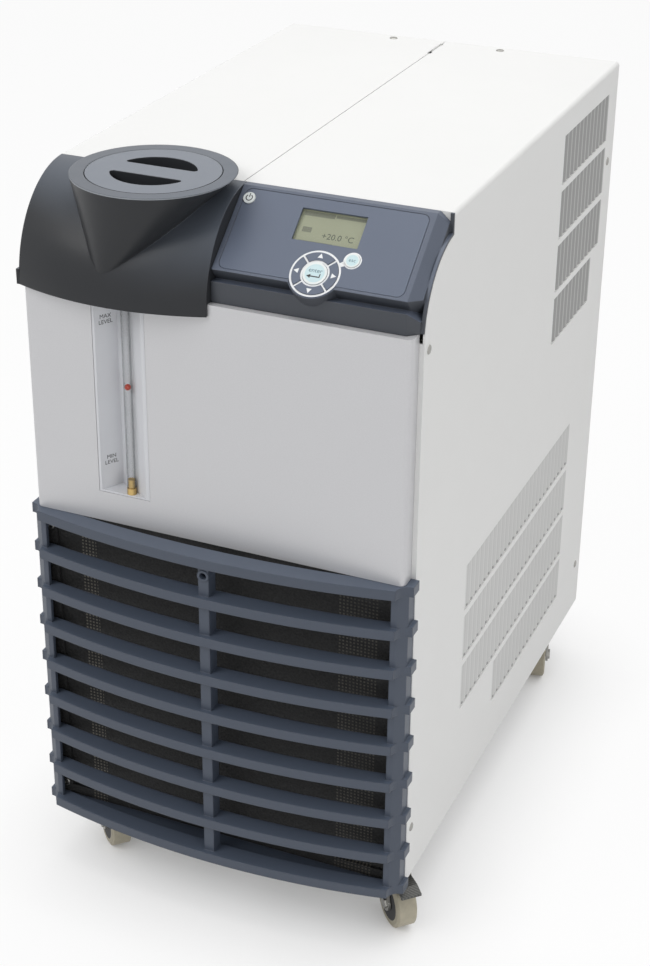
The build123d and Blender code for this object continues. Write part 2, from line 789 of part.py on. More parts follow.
# Display and circuit board under the desk
board_left = 2.5
board_right = 128.0
board_low = 4.5
board_high = 77.0
with BuildPart() as display_module:
    with BuildSketch(desk_plane.offset(-console_wall)):
        with Locations((lcd_x, lcd_s)):
            Rectangle(lcd_right - lcd_left + 2 * window_lap, lcd_high - lcd_low + 2 * window_lap)
    extrude(amount=console_wall - board_drop)
    with BuildSketch(desk_plane.offset(-board_drop)):
        with Locations(((board_left + board_right) / 2, (board_low + board_high) / 2)):
            Rectangle(board_right - board_left, board_high - board_low)
    extrude(amount=-board_thickness)
save(display_module, "display_module")

# Keys: quadrants of the navigation pad and three round keys, each on a short plunger
for label, turn in sector_turns.items():
    with BuildPart() as key:
        with BuildSketch(pad_plane.offset(key_proud)):
            key_sector(turn, 0)
        extrude(amount=-key_proud - console_wall)
        with BuildSketch(pad_plane.offset(-console_wall)):
            with Locations(Vector((key_inner + key_outer) / 2, 0).rotate(Axis.Z, turn)):
                Rectangle(key_stem_width, key_stem_width)
        extrude(amount=console_wall - key_stem)
    save(key, label)
for label, (x, s, radius) in round_keys.items():
    with BuildPart() as key:
        with BuildSketch(desk_plane.offset(key_proud)):
            with Locations((x, s)):
                Circle(radius)
        extrude(amount=-key_proud - console_wall)
        with BuildSketch(desk_plane.offset(-console_wall)):
            with Locations((x, s)):
                Rectangle(key_stem_width, key_stem_width)
        extrude(amount=console_wall - key_stem)
    save(key, label)

# Intake grille: nine bowed bars on a mullion and two uprights
bar_count = 9
bar_top = panel_low - slip
bar_thick = 9.5
grille_low = 63.78
bar_pitch = (bar_top - bar_thick - grille_low) / (bar_count - 1)
bow_front = case_front - front_reach
bow_side_x = side_x - 8.5
bow_side_y = case_front - 25.2
bow_corner = 11.8
grille_half = bow_side_x + bow_corner
bow_inner_x = side_x - 14.0
bow_inner_y = case_front - 11.0
bow_inner_front = case_front - 25.0
filter_half = side_x - 8.0
bay_half = filter_half + slip
upright_outer = side_x - 0.6
upright_wall = 4.0
upright_step = 1.0
upright_front = case_front - 20.5
mullion_half = 5.0
mullion_front = case_front - 38.6
ring_z = bar_top - 19.0
ring_boss = 5.5
ring_bore = 3.25
with BuildPart() as grille_bar:
    with BuildSketch(Plane.XY.offset(bar_top)):
        with BuildLine():
            bow = ThreePointArc((-bow_side_x, bow_side_y), (0, bow_front), (bow_side_x, bow_side_y))
            RadiusArc(bow @ 1, (grille_half, bow_side_y + bow_corner), bow_corner)
            RadiusArc((-grille_half, bow_side_y + bow_corner), bow @ 0, bow_corner)
            hollow = ThreePointArc(
                (-bow_inner_x, bow_inner_y), (0, bow_inner_front), (bow_inner_x, bow_inner_y)
            )
            Polyline(
                (grille_half, bow_side_y + bow_corner), (grille_half, case_front), (bay_half, case_front),
                (bay_half, bow_inner_y), hollow @ 1,
            )
            Polyline(
                (-grille_half, bow_side_y + bow_corner), (-grille_half, case_front), (-bay_half, case_front),
                (-bay_half, bow_inner_y), hollow @ 0,
            )
        make_face()
    extrude(amount=-bar_thick)

with BuildPart() as grille:
    for turn in range(bar_count):
        add(grille_bar.part.moved(Location((0, 0, -turn * bar_pitch))))
    with BuildSketch(Plane.XY.offset(grille_low)):
        with Locations((0, (mullion_front + bow_inner_front) / 2)):
            Rectangle(2 * mullion_half, bow_inner_front - mullion_front)
        for side in (-1, 1):
            Polygon(
                (side * bow_inner_x, upright_front), (side * bow_side_x, upright_front + upright_step),
                (side * upright_outer, bow_side_y + bow_corner), (side * upright_outer, case_front),
                (side * (upright_outer - upright_wall), case_front),
                (side * (upright_outer - upright_wall), bow_side_y + bow_corner + upright_step),
                (side * bow_side_x, upright_front + upright_step + upright_wall),
                (side * bow_inner_x, upright_front + upright_wall), align=None,
            )
    extrude(amount=bar_top - grille_low)
    with BuildSketch(Plane.XZ.offset(-bow_inner_front)):
        with Locations((0, ring_z)):
            Circle(ring_boss)
    extrude(amount=bow_inner_front - bow_front - upright_wall)
    with BuildSketch(Plane.XZ.offset(-bow_inner_front)):
        with Locations((0, ring_z)):
            Circle(ring_bore)
    extrude(amount=front_reach, both=True, mode=Mode.SUBTRACT)
save(grille, "grille")

# Air filter: framed screen clipped behind the grille
filter_low = 70.0
filter_high = panel_low - 3.3
filter_depth = 8.5
filter_rail = 10.0
screen_thickness = 1.2
with BuildPart() as air_filter:
    with BuildSketch(Plane.XZ.offset(-case_front)):
        with Locations((0, (filter_low + filter_high) / 2)):
            Rectangle(2 * filter_half, filter_high - filter_low)
            Rectangle(
                2 * (filter_half - filter_rail), filter_high - filter_low - 2 * filter_rail,
                mode=Mode.SUBTRACT,
            )
    extrude(amount=filter_depth)
    with BuildSketch(Plane.XZ.offset(-case_front + filter_depth / 2)):
        with Locations((0, (filter_low + filter_high) / 2)):
            Rectangle(2 * filter_half - filter_rail, filter_high - filter_low - filter_rail)
    extrude(amount=screen_thickness)
    with BuildSketch(Plane.XZ.offset(-case_front)):
        with Locations(*filter_screw_places):
            Rectangle(screw_hole, screw_hole)
    extrude(amount=filter_depth, mode=Mode.SUBTRACT)
save(air_filter, "air_filter")

# Panel screws: pan heads on short shanks, which are plain hexagons in place of their threads
with BuildPart() as panel_screws:
    for side in (-1, 1):
        with BuildSketch(Plane.YZ.offset(side * side_x)):
            with Locations(*side_screw_places):
                Circle(screw_head_radius)
        extrude(amount=side * screw_head)
        with BuildSketch(Plane.YZ.offset(side * side_x)):
            with Locations(*side_screw_places):
                RegularPolygon(screw_core, 6)
        extrude(amount=-side * screw_length)
    with BuildSketch(Plane.XY.offset(case_height)):
        with Locations(*[(side * top_screw_x, case_front + top_screw_y) for side in (-1, 1)]):
            Circle(screw_head_radius)
    extrude(amount=screw_head)
    with BuildSketch(Plane.XY.offset(case_height)):
        with Locations(*[(side * top_screw_x, case_front + top_screw_y) for side in (-1, 1)]):
            RegularPolygon(screw_core, 6)
    extrude(amount=-screw_length)
    with BuildSketch(Plane.XZ.offset(-case_front + filter_depth)):
        with Locations(*filter_screw_places):
            Circle(screw_head_radius)
    extrude(amount=screw_head)
    with BuildSketch(Plane.XZ.offset(-case_front + filter_depth)):
        with Locations(*filter_screw_places):
            RegularPolygon(screw_core, 6)
    extrude(amount=case_front - filter_depth - bulkhead_back)
save(panel_screws, "panel_screws")

# Condenser behind the intake, with headers at its ends
core_half = side_x - 30.0
core_front = case_front + 12.0
core_rear = case_front + 45.0
core_low = pan_floor
core_high = panel_low - 8.3
header_width = 14.0
header_inset = 3.0
with BuildPart() as condenser:
    with BuildSketch(Plane.XZ.offset(-core_front - header_inset)):
        with Locations((0, (core_low + core_high) / 2)):
            Rectangle(2 * core_half, core_high - core_low)
    extrude(amount=-(core_rear - core_front - 2 * header_inset))
    with BuildSketch(Plane.XZ.offset(-core_front)):
        for side in (-1, 1):
            with Locations((side * (core_half - header_width / 2), (core_low + core_high) / 2)):
                Rectangle(header_width, core_high - core_low)
    extrude(amount=-(core_rear - core_front))
save(condenser, "condenser")

# Fan shroud with its ring, the fan, and the motor on a cross bracket
fan_z = (core_low + core_high) / 2 - 1.75
fan_radius = (core_high - core_low) / 2 - 34.25
fan_clearance = 5.0
shroud_plate = 2.0
shroud_ring_depth = 38.0
shroud_front = core_rear + slip
shroud_rear = shroud_front + shroud_ring_depth
hub_radius = 36.0
hub_front = shroud_front + 8.0
hub_depth = 24.0
blade_count = 5
blade_pitch = 28.0
blade_chord = 58.0
blade_thick = 3.0
blade_root = 4.0
shaft_radius = 5.0
motor_radius = 44.0
motor_depth = 52.0
bracket_width = 18.0
bracket_thick = 4.0
motor_front = shroud_rear + slip
with BuildPart() as fan_shroud:
    with BuildSketch(Plane.XZ.offset(-shroud_front)):
        with Locations((0, (core_low + core_high) / 2)):
            Rectangle(2 * core_half, core_high - core_low)
        with Locations((0, fan_z)):
            Circle(fan_radius + fan_clearance, mode=Mode.SUBTRACT)
    extrude(amount=-shroud_plate)
    with BuildSketch(Plane.XZ.offset(-shroud_front)):
        with Locations((0, fan_z)):
            Circle(fan_radius + fan_clearance + shroud_plate)
            Circle(fan_radius + fan_clearance, mode=Mode.SUBTRACT)
    extrude(amount=-shroud_ring_depth)
save(fan_shroud, "fan_shroud")

with BuildPart() as fan_blade:
    with BuildSketch(Plane.YZ.offset(hub_radius - blade_root)):
        with Locations(Location((0, 0, 0), (0, 0, blade_pitch))):
            Rectangle(blade_thick, blade_chord)
    extrude(amount=fan_radius - hub_radius + blade_root)
    with BuildSketch(Plane.XZ.offset(hub_depth)):
        Circle(fan_radius)
    extrude(amount=-2 * hub_depth, mode=Mode.INTERSECT)

with BuildPart() as fan:
    with BuildSketch(Plane.XZ.offset(-hub_front)):
        with Locations((0, fan_z)):
            Circle(hub_radius)
            Circle(shaft_radius + slip, mode=Mode.SUBTRACT)
    extrude(amount=-hub_depth)
    for turn in range(blade_count):
        blade = fan_blade.part.rotate(Axis.Y, turn * 360 / blade_count)
        add(blade.moved(Location((0, hub_front + hub_depth / 2, fan_z))))
save(fan, "fan")

with BuildPart() as fan_motor:
    with BuildSketch(Plane.XZ.offset(-motor_front)):
        with Locations((0, fan_z)):
            Rectangle(2 * (fan_radius + fan_clearance + shroud_plate), bracket_width)
            Rectangle(bracket_width, 2 * (fan_radius + fan_clearance + shroud_plate))
            Circle(motor_radius)
    extrude(amount=-bracket_thick)
    with BuildSketch(Plane.XZ.offset(-motor_front - bracket_thick)):
        with Locations((0, fan_z)):
            Circle(motor_radius)
    extrude(amount=-motor_depth)
    with BuildSketch(Plane.XZ.offset(-motor_front)):
        with Locations((0, fan_z)):
            Circle(shaft_radius)
    extrude(amount=motor_front - hub_front)
save(fan_motor, "fan_motor")

# Hermetic compressor on three rubber grommets
compressor_x = side_x - 110.0
compressor_y = case_rear - 188.0
compressor_radius = 82.0
compressor_high = core_high - 60.0
foot_radius = 92.0
foot_thick = 3.0
foot_z = 88.0
dome_height = 20.0
dome_run = 30.0
grommet_radius = 12.0
grommet_ring = 78.0
with BuildPart() as compressor:
    with BuildSketch(Plane.XY.offset(foot_z)):
        with Locations((compressor_x, compressor_y)):
            Circle(foot_radius)
    extrude(amount=foot_thick)
    with BuildSketch(Plane.XY.offset(foot_z + foot_thick)):
        with Locations((compressor_x, compressor_y)):
            Circle(compressor_radius)
    extrude(amount=compressor_high - foot_z - foot_thick)
    chamfer(compressor.edges().sort_by(Axis.Z)[-1], dome_height, dome_run)
save(compressor, "compressor")

with BuildPart() as compressor_grommets:
    with BuildSketch(Plane.XY.offset(pan_floor)):
        with Locations((compressor_x, compressor_y)):
            with PolarLocations(grommet_ring, 3):
                Circle(grommet_radius)
    extrude(amount=foot_z - pan_floor)
save(compressor_grommets, "compressor_grommets")

# Circulation pump driven by a foot-mounted motor
pump_x = 85.0 - side_x
pump_z = 140.0
motor_body = 55.0
motor_from = case_rear - 298.0
motor_to = motor_from + 150.0
pump_depth = 46.0
pump_radius = 42.0
stand_half = 40.0
with BuildPart() as pump_motor:
    with BuildSketch(Plane.XZ.offset(-motor_from)):
        with Locations((pump_x, pump_z)):
            Circle(motor_body)
        with Locations((pump_x, (pan_floor + pump_z) / 2)):
            Rectangle(2 * stand_half, pump_z - pan_floor)
    extrude(amount=-(motor_to - motor_from))
save(pump_motor, "pump_motor")

port_radius = 9.0
port_length = 16.0
with BuildPart() as pump:
    with BuildSketch(Plane.XZ.offset(-motor_from)):
        with Locations((pump_x, pump_z)):
            Circle(pump_radius)
    extrude(amount=pump_depth)
    with BuildSketch(Plane.XZ.offset(-motor_from + pump_depth)):
        with Locations((pump_x, pump_z)):
            Circle(port_radius)
    extrude(amount=port_length)
    with BuildSketch(Plane.XY.offset(pump_z)):
        with Locations((pump_x, motor_from - pump_depth / 2)):
            Circle(port_radius)
    extrude(amount=pump_radius + port_length)
save(pump, "pump")

# Evaporator: plate heat exchanger hung on the rear panel
evaporator_left = 30.0 - side_x
evaporator_right = evaporator_left + 76.0
evaporator_front = case_rear - 78.0
evaporator_low = core_high - 110.0
evaporator_high = core_high + 100.0
with BuildPart() as evaporator:
    with BuildSketch(Plane.XY.offset(evaporator_low)):
        with Locations(((evaporator_left + evaporator_right) / 2, (evaporator_front + rear_inner) / 2)):
            Rectangle(evaporator_right - evaporator_left, rear_inner - evaporator_front)
    extrude(amount=evaporator_high - evaporator_low)
save(evaporator, "evaporator")

# Electrical box on the shelf
box_left = 20.0
box_right = side_x - 15.0
box_front = bulkhead_back + 6.0
box_rear = bulkhead_back + shelf_depth - 6.0
box_high = panel_high - 21.5
with BuildPart() as electrical_box:
    with BuildSketch(Plane.XY.offset(shelf_z)):
        with Locations(((box_left + box_right) / 2, (box_front + box_rear) / 2)):
            Rectangle(box_right - box_left, box_rear - box_front)
    extrude(amount=box_high - shelf_z)
save(electrical_box, "electrical_box")

# Process ports: threaded unions through the rear panel
union_radius = 15.0
union_bore = 9.3
union_bore_depth = 22.0
union_nut = 19.0
union_nut_thick = 6.0
union_inner = 26.0
with BuildPart() as process_ports:
    with BuildSketch(Plane.XZ.offset(-case_rear - rear_reach)):
        with Locations(*[(x, port_z) for x in port_x]):
            Circle(union_radius)
    extrude(amount=case_rear + rear_reach - rear_inner + union_inner)
    with BuildSketch(Plane.XZ.offset(-rear_face)):
        with Locations(*[(x, port_z) for x in port_x]):
            RegularPolygon(union_nut, 6, major_radius=False)
    extrude(amount=-union_nut_thick)
    with BuildSketch(Plane.XZ.offset(-case_rear - rear_reach)):
        with Locations(*[(x, port_z) for x in port_x]):
            Circle(union_bore)
    extrude(amount=union_bore_depth, mode=Mode.SUBTRACT)
save(process_ports, "process_ports")

# Mains inlet: flanged module with a three-pin socket and a rocker switch
inlet_flange = 5.0
inlet_flange_thick = 1.8
inlet_body_depth = 26.0
socket_x = inlet_x - 9.5
socket_width = 24.6
socket_height = 16.6
socket_depth = 17.0
pin_width = 2.0
pin_height = 4.0
pin_pitch = 7.0
pin_drop = 2.0
pin_rise = 1.0
switch_x = inlet_x + 15.0
switch_width = 12.0
switch_height = 21.0
switch_depth = 14.0
inlet_face = rear_face + inlet_flange_thick
with BuildPart() as power_inlet:
    with BuildSketch(Plane.XZ.offset(-rear_face)):
        with Locations((inlet_x, inlet_z)):
            Rectangle(inlet_width + 2 * inlet_flange, inlet_height + 2 * inlet_flange)
    extrude(amount=-inlet_flange_thick)
    with BuildSketch(Plane.XZ.offset(-rear_face)):
        with Locations((inlet_x, inlet_z)):
            Rectangle(inlet_width, inlet_height)
    extrude(amount=inlet_body_depth)
    with BuildSketch(Plane.XZ.offset(-inlet_face)):
        with Locations((socket_x, inlet_z)):
            Rectangle(socket_width, socket_height)
            for place in ((-pin_pitch, -pin_drop), (0, pin_rise), (pin_pitch, -pin_drop)):
                with Locations(place):
                    Rectangle(pin_width, pin_height, mode=Mode.SUBTRACT)
    extrude(amount=socket_depth, mode=Mode.SUBTRACT)
    with BuildSketch(Plane.XZ.offset(-inlet_face)):
        with Locations((switch_x, inlet_z)):
            Rectangle(switch_width, switch_height)
    extrude(amount=switch_depth, mode=Mode.SUBTRACT)
save(power_inlet, "power_inlet")

rocker_tilt = 7.0
rocker_half = 9.4
rocker_width = switch_width - 2 * slip
rocker_pivot = inlet_face - 4.5
rocker_tip = 6.0
rocker_waist = 4.8
rocker_back = 4.0
rocker_out = (0, cos(radians(rocker_tilt)), sin(radians(rocker_tilt)))
with BuildPart() as inlet_switch:
    with BuildSketch(
        Plane(origin=(switch_x - rocker_width / 2, rocker_pivot, inlet_z), x_dir=rocker_out, z_dir=(1, 0, 0))
    ):
        Polygon(
            (-rocker_back, -rocker_half), (rocker_tip, -rocker_half), (rocker_waist, 0),
            (rocker_tip, rocker_half), (-rocker_back, rocker_half), align=None,
        )
    extrude(amount=rocker_width)
save(inlet_switch, "inlet_switch")

# Tube runs of the coolant and refrigerant circuits
coolant_radius = 8.0
coolant_bend = 12.0
refrigerant_radius = 4.5
refrigerant_bend = 6.0
tank_outlet_x = pump_x
tank_outlet_z = shelf_z + 15.0
riser_y = bulkhead_back + shelf_depth + 12.0
pump_top = pump_z + pump_radius + port_length
pump_outlet_y = motor_from - pump_depth / 2
pump_inlet_y = motor_from - pump_depth - port_length
chiller_in_z = evaporator_high - 40.0
supply_y = case_rear - 56.0
return_z = tank_top - 40.0
union_end = rear_inner - union_inner
return_dip_y = union_end - 60.0
return_climb_y = union_end - 100.0
discharge_x = compressor_x + 30.0
discharge_turn_y = compressor_y - 60.0
crossing_z = core_high + 12.0
header_x = core_half - header_width / 2
header_y = (core_front + core_rear) / 2
drier_radius = 14.0
drier_from = evaporator_front - 95.0
drier_length = 60.0
liquid_dip_y = drier_from - 75.0
liquid_level_y = drier_from - 45.0
liquid_z = core_high - 50.0
suction_y = case_rear - 40.0
suction_z = core_high - 80.0
suction_entry_z = core_high - 118.0
suction_turn_x = evaporator_right + 105.0
suction_drop_y = suction_y - 20.0


coolant_routes = [
    [
        (tank_outlet_x, tank_rear, tank_outlet_z), (tank_outlet_x, riser_y, tank_outlet_z),
        (tank_outlet_x, riser_y, pump_z), (tank_outlet_x, pump_inlet_y, pump_z),
    ],
    [
        (pump_x, pump_outlet_y, pump_top), (pump_x, pump_outlet_y, chiller_in_z),
        (pump_x, evaporator_front, chiller_in_z),
    ],
    [(port_x[0], supply_y, evaporator_high), (port_x[0], supply_y, port_z), (port_x[0], union_end, port_z)],
    [
        (port_x[1], union_end, port_z), (port_x[1], return_dip_y, port_z),
        (port_x[1], return_climb_y, return_z), (port_x[1], tank_rear, return_z),
    ],
]
with BuildPart() as coolant_lines:
    for points in coolant_routes:
        add(tube(points, coolant_radius, coolant_bend))
save(coolant_lines, "coolant_lines")

refrigerant_routes = [
    [
        (discharge_x, compressor_y, compressor_high), (discharge_x, compressor_y, crossing_z),
        (header_x, discharge_turn_y, crossing_z), (header_x, header_y, crossing_z),
        (header_x, header_y, core_high),
    ],
    [
        (-header_x, header_y, core_high), (-header_x, header_y, crossing_z),
        (-header_x, liquid_dip_y, crossing_z), (-header_x, liquid_level_y, liquid_z),
        (-header_x, evaporator_front, liquid_z),
    ],
    [
        (evaporator_right, suction_y, suction_z), (suction_turn_x, suction_y, suction_z),
        (compressor_x, suction_drop_y, suction_entry_z),
        (compressor_x, compressor_y + compressor_radius, suction_entry_z),
    ],
]
with BuildPart() as refrigerant_lines:
    for points in refrigerant_routes:
        add(tube(points, refrigerant_radius, refrigerant_bend))
    with BuildSketch(Plane.XZ.offset(-drier_from)):
        with Locations((-header_x, liquid_z)):
            Circle(drier_radius)
    extrude(amount=-drier_length)
save(refrigerant_lines, "refrigerant_lines")

# Casters: plate, raceway and kingpin under each corner of the pan
kingpin_x = side_x - 30.0
front_kingpin_y = case_front + 38.0
rear_kingpin_y = case_rear - 45.0
plate_length = 62.0
plate_width = 46.0
plate_thick = 2.5
race_radius = 10.0
race_low = 59.5
kingpin_radius = 4.0
kingpin_head_radius = 7.0
kingpin_head = 3.0
fork_top = race_low - slip
fork_plate = 3.2
fork_under = fork_top - fork_plate
wheel_radius = 25.0
wheel_half = 10.0
wheel_edge = 3.0
trail = 22.0
fork_back = 14.0
fork_nose = 20.0
leg_gap = 0.6
leg_wall = 2.5
leg_boss = 8.0
axle_radius = 3.0
axle_head_radius = 5.5
axle_head = 2.0
pedal_hinge_t = 12.0
pedal_hinge_z = 53.9
pedal_pin_radius = 1.6
pedal_under = 52.8
pedal_thick = 2.4
pedal_tail = 10.4
pedal_bend = 42.0
pedal_tip = 52.0
tip_under = pedal_under - 3.5
caster_places = {
    "front_right": (kingpin_x, front_kingpin_y, -45),
    "front_left": (-kingpin_x, front_kingpin_y, -45),
    "rear_right": (kingpin_x, rear_kingpin_y, -74),
    "rear_left": (-kingpin_x, rear_kingpin_y, -135),
}
with BuildPart() as caster_mounts:
    with BuildSketch(Plane.XY.offset(ride_height)):
        with Locations(*[(x, y) for x, y, turn in caster_places.values()]):
            Rectangle(plate_width, plate_length)
    extrude(amount=-plate_thick)
    with BuildSketch(Plane.XY.offset(ride_height - plate_thick)):
        with Locations(*[(x, y) for x, y, turn in caster_places.values()]):
            Circle(race_radius)
    extrude(amount=race_low - ride_height + plate_thick)
    with BuildSketch(Plane.XY.offset(race_low)):
        with Locations(*[(x, y) for x, y, turn in caster_places.values()]):
            Circle(kingpin_radius)
    extrude(amount=fork_under - slip - race_low)
    with BuildSketch(Plane.XY.offset(fork_under - slip)):
        with Locations(*[(x, y) for x, y, turn in caster_places.values()]):
            Circle(kingpin_head_radius)
    extrude(amount=-kingpin_head)
save(caster_mounts, "caster_mounts")


def caster(corner, x, y, turn):
    """Fork, axle, wheel and brake pedal of one caster, trailing from its kingpin at the given heading."""
    along = (cos(radians(turn)), sin(radians(turn)), 0)
    across = (along[1], -along[0], 0)
    level = Plane(origin=(x, y, 0), x_dir=along)
    upright = Plane(origin=(x, y, 0), x_dir=along, z_dir=across)
    leg_inside = wheel_half + leg_gap
    leg_outside = leg_inside + leg_wall
    with BuildPart() as fork:
        with BuildSketch(level.offset(fork_top)):
            with Locations(((fork_nose - fork_back) / 2, 0)):
                Rectangle(fork_nose + fork_back, 2 * leg_outside)
            Circle(kingpin_radius + slip, mode=Mode.SUBTRACT)
        extrude(amount=-fork_plate)
        with BuildSketch(upright.offset(leg_inside), upright.offset(-leg_outside)):
            Polygon(
                (-fork_back, fork_top), (fork_nose, fork_top), (trail + leg_boss, wheel_radius),
                (trail - leg_boss, wheel_radius), (-fork_back, fork_under), align=None,
            )
            with Locations((trail, wheel_radius)):
                Circle(leg_boss)
                Circle(axle_radius + slip / 2, mode=Mode.SUBTRACT)
            with Locations((pedal_hinge_t, pedal_hinge_z)):
                Circle(pedal_pin_radius + slip / 2, mode=Mode.SUBTRACT)
        extrude(amount=leg_wall)
    save(fork, f"{corner}_fork")
    with BuildPart() as axle:
        with BuildSketch(upright.offset(-leg_outside)):
            with Locations((trail, wheel_radius)):
                Circle(axle_radius)
        extrude(amount=2 * leg_outside)
        with BuildSketch(upright.offset(leg_outside), upright.offset(-leg_outside - axle_head)):
            with Locations((trail, wheel_radius)):
                RegularPolygon(axle_head_radius, 6)
        extrude(amount=axle_head)
    save(axle, f"{corner}_axle")
    with BuildPart() as wheel:
        with BuildSketch(upright.offset(-wheel_half)):
            with Locations((trail, wheel_radius)):
                Circle(wheel_radius)
                Circle(axle_radius + slip, mode=Mode.SUBTRACT)
        extrude(amount=2 * wheel_half)
        tread_edges = wheel.edges().filter_by(GeomType.CIRCLE).group_by(Edge.length)[-1]
        chamfer(tread_edges, wheel_edge / 2, wheel_edge)
    save(wheel, f"{corner}_wheel")
    with BuildPart() as pedal:
        with BuildSketch(upright.offset(-wheel_half)):
            Polygon(
                (pedal_tail, pedal_under), (pedal_bend, pedal_under), (pedal_tip, tip_under),
                (pedal_tip, tip_under + pedal_thick), (pedal_bend, pedal_under + pedal_thick),
                (pedal_tail, pedal_under + pedal_thick), align=None,
            )
        extrude(amount=2 * wheel_half)
        with BuildSketch(upright.offset(-leg_outside)):
            with Locations((pedal_hinge_t, pedal_hinge_z)):
                Circle(pedal_pin_radius)
        extrude(amount=2 * leg_outside)
    save(pedal, f"{corner}_brake_pedal")


for corner, (x, y, turn) in caster_places.items():
    caster(corner, x, y, turn)
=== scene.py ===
import math

import bpy
from mathutils import Matrix, Vector


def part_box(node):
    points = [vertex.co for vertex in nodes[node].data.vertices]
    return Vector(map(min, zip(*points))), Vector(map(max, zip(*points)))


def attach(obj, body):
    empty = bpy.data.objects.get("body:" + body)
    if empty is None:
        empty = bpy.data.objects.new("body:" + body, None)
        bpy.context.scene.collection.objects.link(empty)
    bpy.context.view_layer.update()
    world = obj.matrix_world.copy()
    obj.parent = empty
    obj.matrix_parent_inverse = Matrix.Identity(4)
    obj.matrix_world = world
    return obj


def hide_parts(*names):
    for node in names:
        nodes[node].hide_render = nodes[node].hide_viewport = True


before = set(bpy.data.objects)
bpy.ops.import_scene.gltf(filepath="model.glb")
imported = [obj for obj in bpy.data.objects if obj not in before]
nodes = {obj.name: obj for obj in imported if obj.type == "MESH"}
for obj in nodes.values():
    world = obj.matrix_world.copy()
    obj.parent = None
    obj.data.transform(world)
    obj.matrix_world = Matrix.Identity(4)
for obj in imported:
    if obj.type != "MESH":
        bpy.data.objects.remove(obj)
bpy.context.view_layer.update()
MM = 0.001
CASE_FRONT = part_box("left_wrap")[0].y
bpy.ops.object.select_all(action="DESELECT")


# Steel cabinet: two side-and-top sheets, rear panel, bulkhead and pan, folded from mild steel.
# The outside is near-white powder coat with a fine orange-peel surface.
class Value:
    """A node output with arithmetic: an expression on it adds the maths nodes it needs."""

    def __init__(self, finish, socket):
        self.finish = finish
        self.socket = socket

    def maths(self, operation, first, second=0.0):
        return self.finish.node("ShaderNodeMath", {"operation": operation}, {0: first, 1: second})

    def __add__(self, other):
        return self.maths("ADD", self, other)

    def __sub__(self, other):
        return self.maths("SUBTRACT", self, other)

    def __rsub__(self, other):
        return self.maths("SUBTRACT", other, self)

    def __mul__(self, other):
        return self.maths("MULTIPLY", self, other)

    __radd__ = __add__
    __rmul__ = __mul__

    def between(self, low, high):
        return self.maths("GREATER_THAN", self, low) * self.maths("LESS_THAN", self, high)


class Finish:
    """A named node material built on one shader, with one method that adds any other node."""

    def __init__(self, name, colour, roughness, metallic=0.0, **fixed):
        self.material = bpy.data.materials.new(name)
        self.material.use_nodes = True
        self.tree = self.material.node_tree
        self.shader = self.tree.nodes["Principled BSDF"]
        self.shader.inputs["Base Color"].default_value = (*colour, 1.0)
        self.shader.inputs["Roughness"].default_value = roughness
        self.shader.inputs["Metallic"].default_value = metallic
        for socket, number in fixed.items():
            self.shader.inputs[socket.replace("_", " ")].default_value = number
        self.colour = colour
        self.place = self.node("ShaderNodeTexCoord", output="Object")

    def node(self, kind, settings=None, inputs=None, output=0):
        made = self.tree.nodes.new(kind)
        for key, setting in (settings or {}).items():
            if key == "stops":
                ramp = made.color_ramp.elements
                for index, (where, tint) in enumerate(setting):
                    stop = ramp[index] if index < len(ramp) else ramp.new(where)
                    stop.position = where
                    stop.color = (*tint, 1.0)
            else:
                setattr(made, key, setting)
        for key, wanted in (inputs or {}).items():
            if isinstance(wanted, Value):
                self.tree.links.new(wanted.socket, made.inputs[key])
            else:
                made.inputs[key].default_value = wanted
        return Value(self, made.outputs[output])

    def part_of(self, vector, axis):
        return self.node("ShaderNodeSeparateXYZ", None, {0: vector}, axis)

    def upward(self, low, high):
        """Mask from 0 to 1 as the surface turns from low to high towards straight up."""
        facing = self.part_of(self.node("ShaderNodeNewGeometry", output="Normal"), "Z")
        return self.node(
            "ShaderNodeMapRange", {"interpolation_type": "SMOOTHSTEP"}, {"Value": facing, 1: low, 2: high}
        )

    def noise(self, scale, detail=2.0, output="Fac"):
        return self.node(
            "ShaderNodeTexNoise", None, {"Vector": self.place, "Scale": scale, "Detail": detail}, output
        )

    def blend(self, mask, low, high):
        """Base colour between two colours, or links, by a mask."""
        low, high = ((*c, 1) if isinstance(c, tuple) else c for c in (low, high))
        mix = self.node("ShaderNodeMix", {"data_type": "RGBA"}, {0: mask, 6: low, 7: high}, output=2)
        self.feed("Base Color", mix)
        return mix

    def feed(self, socket, wanted):
        self.tree.links.new(wanted.socket, self.shader.inputs[socket])

    def tint(self, mask, light, dark):
        """Base colour varied between two shades of the finish by a mask."""
        low = tuple(c * dark for c in self.colour)
        high = tuple(min(c * light, 1) for c in self.colour)
        return self.blend(mask, low, high)

    def relief(self, height, strength, distance, rounding=0.0):
        """Surface texture, on edges that are rounded in the shading when a radius is given."""
        inputs = {"Height": height, "Strength": strength, "Distance": distance}
        if rounding:
            inputs["Normal"] = self.node("ShaderNodeBevel", {"samples": 4}, {"Radius": rounding})
        self.feed("Normal", self.node("ShaderNodeBump", None, inputs))

    def wear(self, *names):
        for name in names:
            for slot in nodes[name].material_slots:
                slot.material = self.material


ENAMEL = (0.83, 0.83, 0.82)
enamel = Finish("white_powder_coat", ENAMEL, 0.45, Specular_IOR_Level=0.4)
enamel.tint(enamel.noise(9, 3), 1.0, 0.975)
enamel.feed("Roughness", enamel.noise(60, 2) * 0.12 + 0.4)
enamel.relief(enamel.noise(1400, 2), 0.12, 0.0002)
enamel.wear("rear_panel", "front_bulkhead")

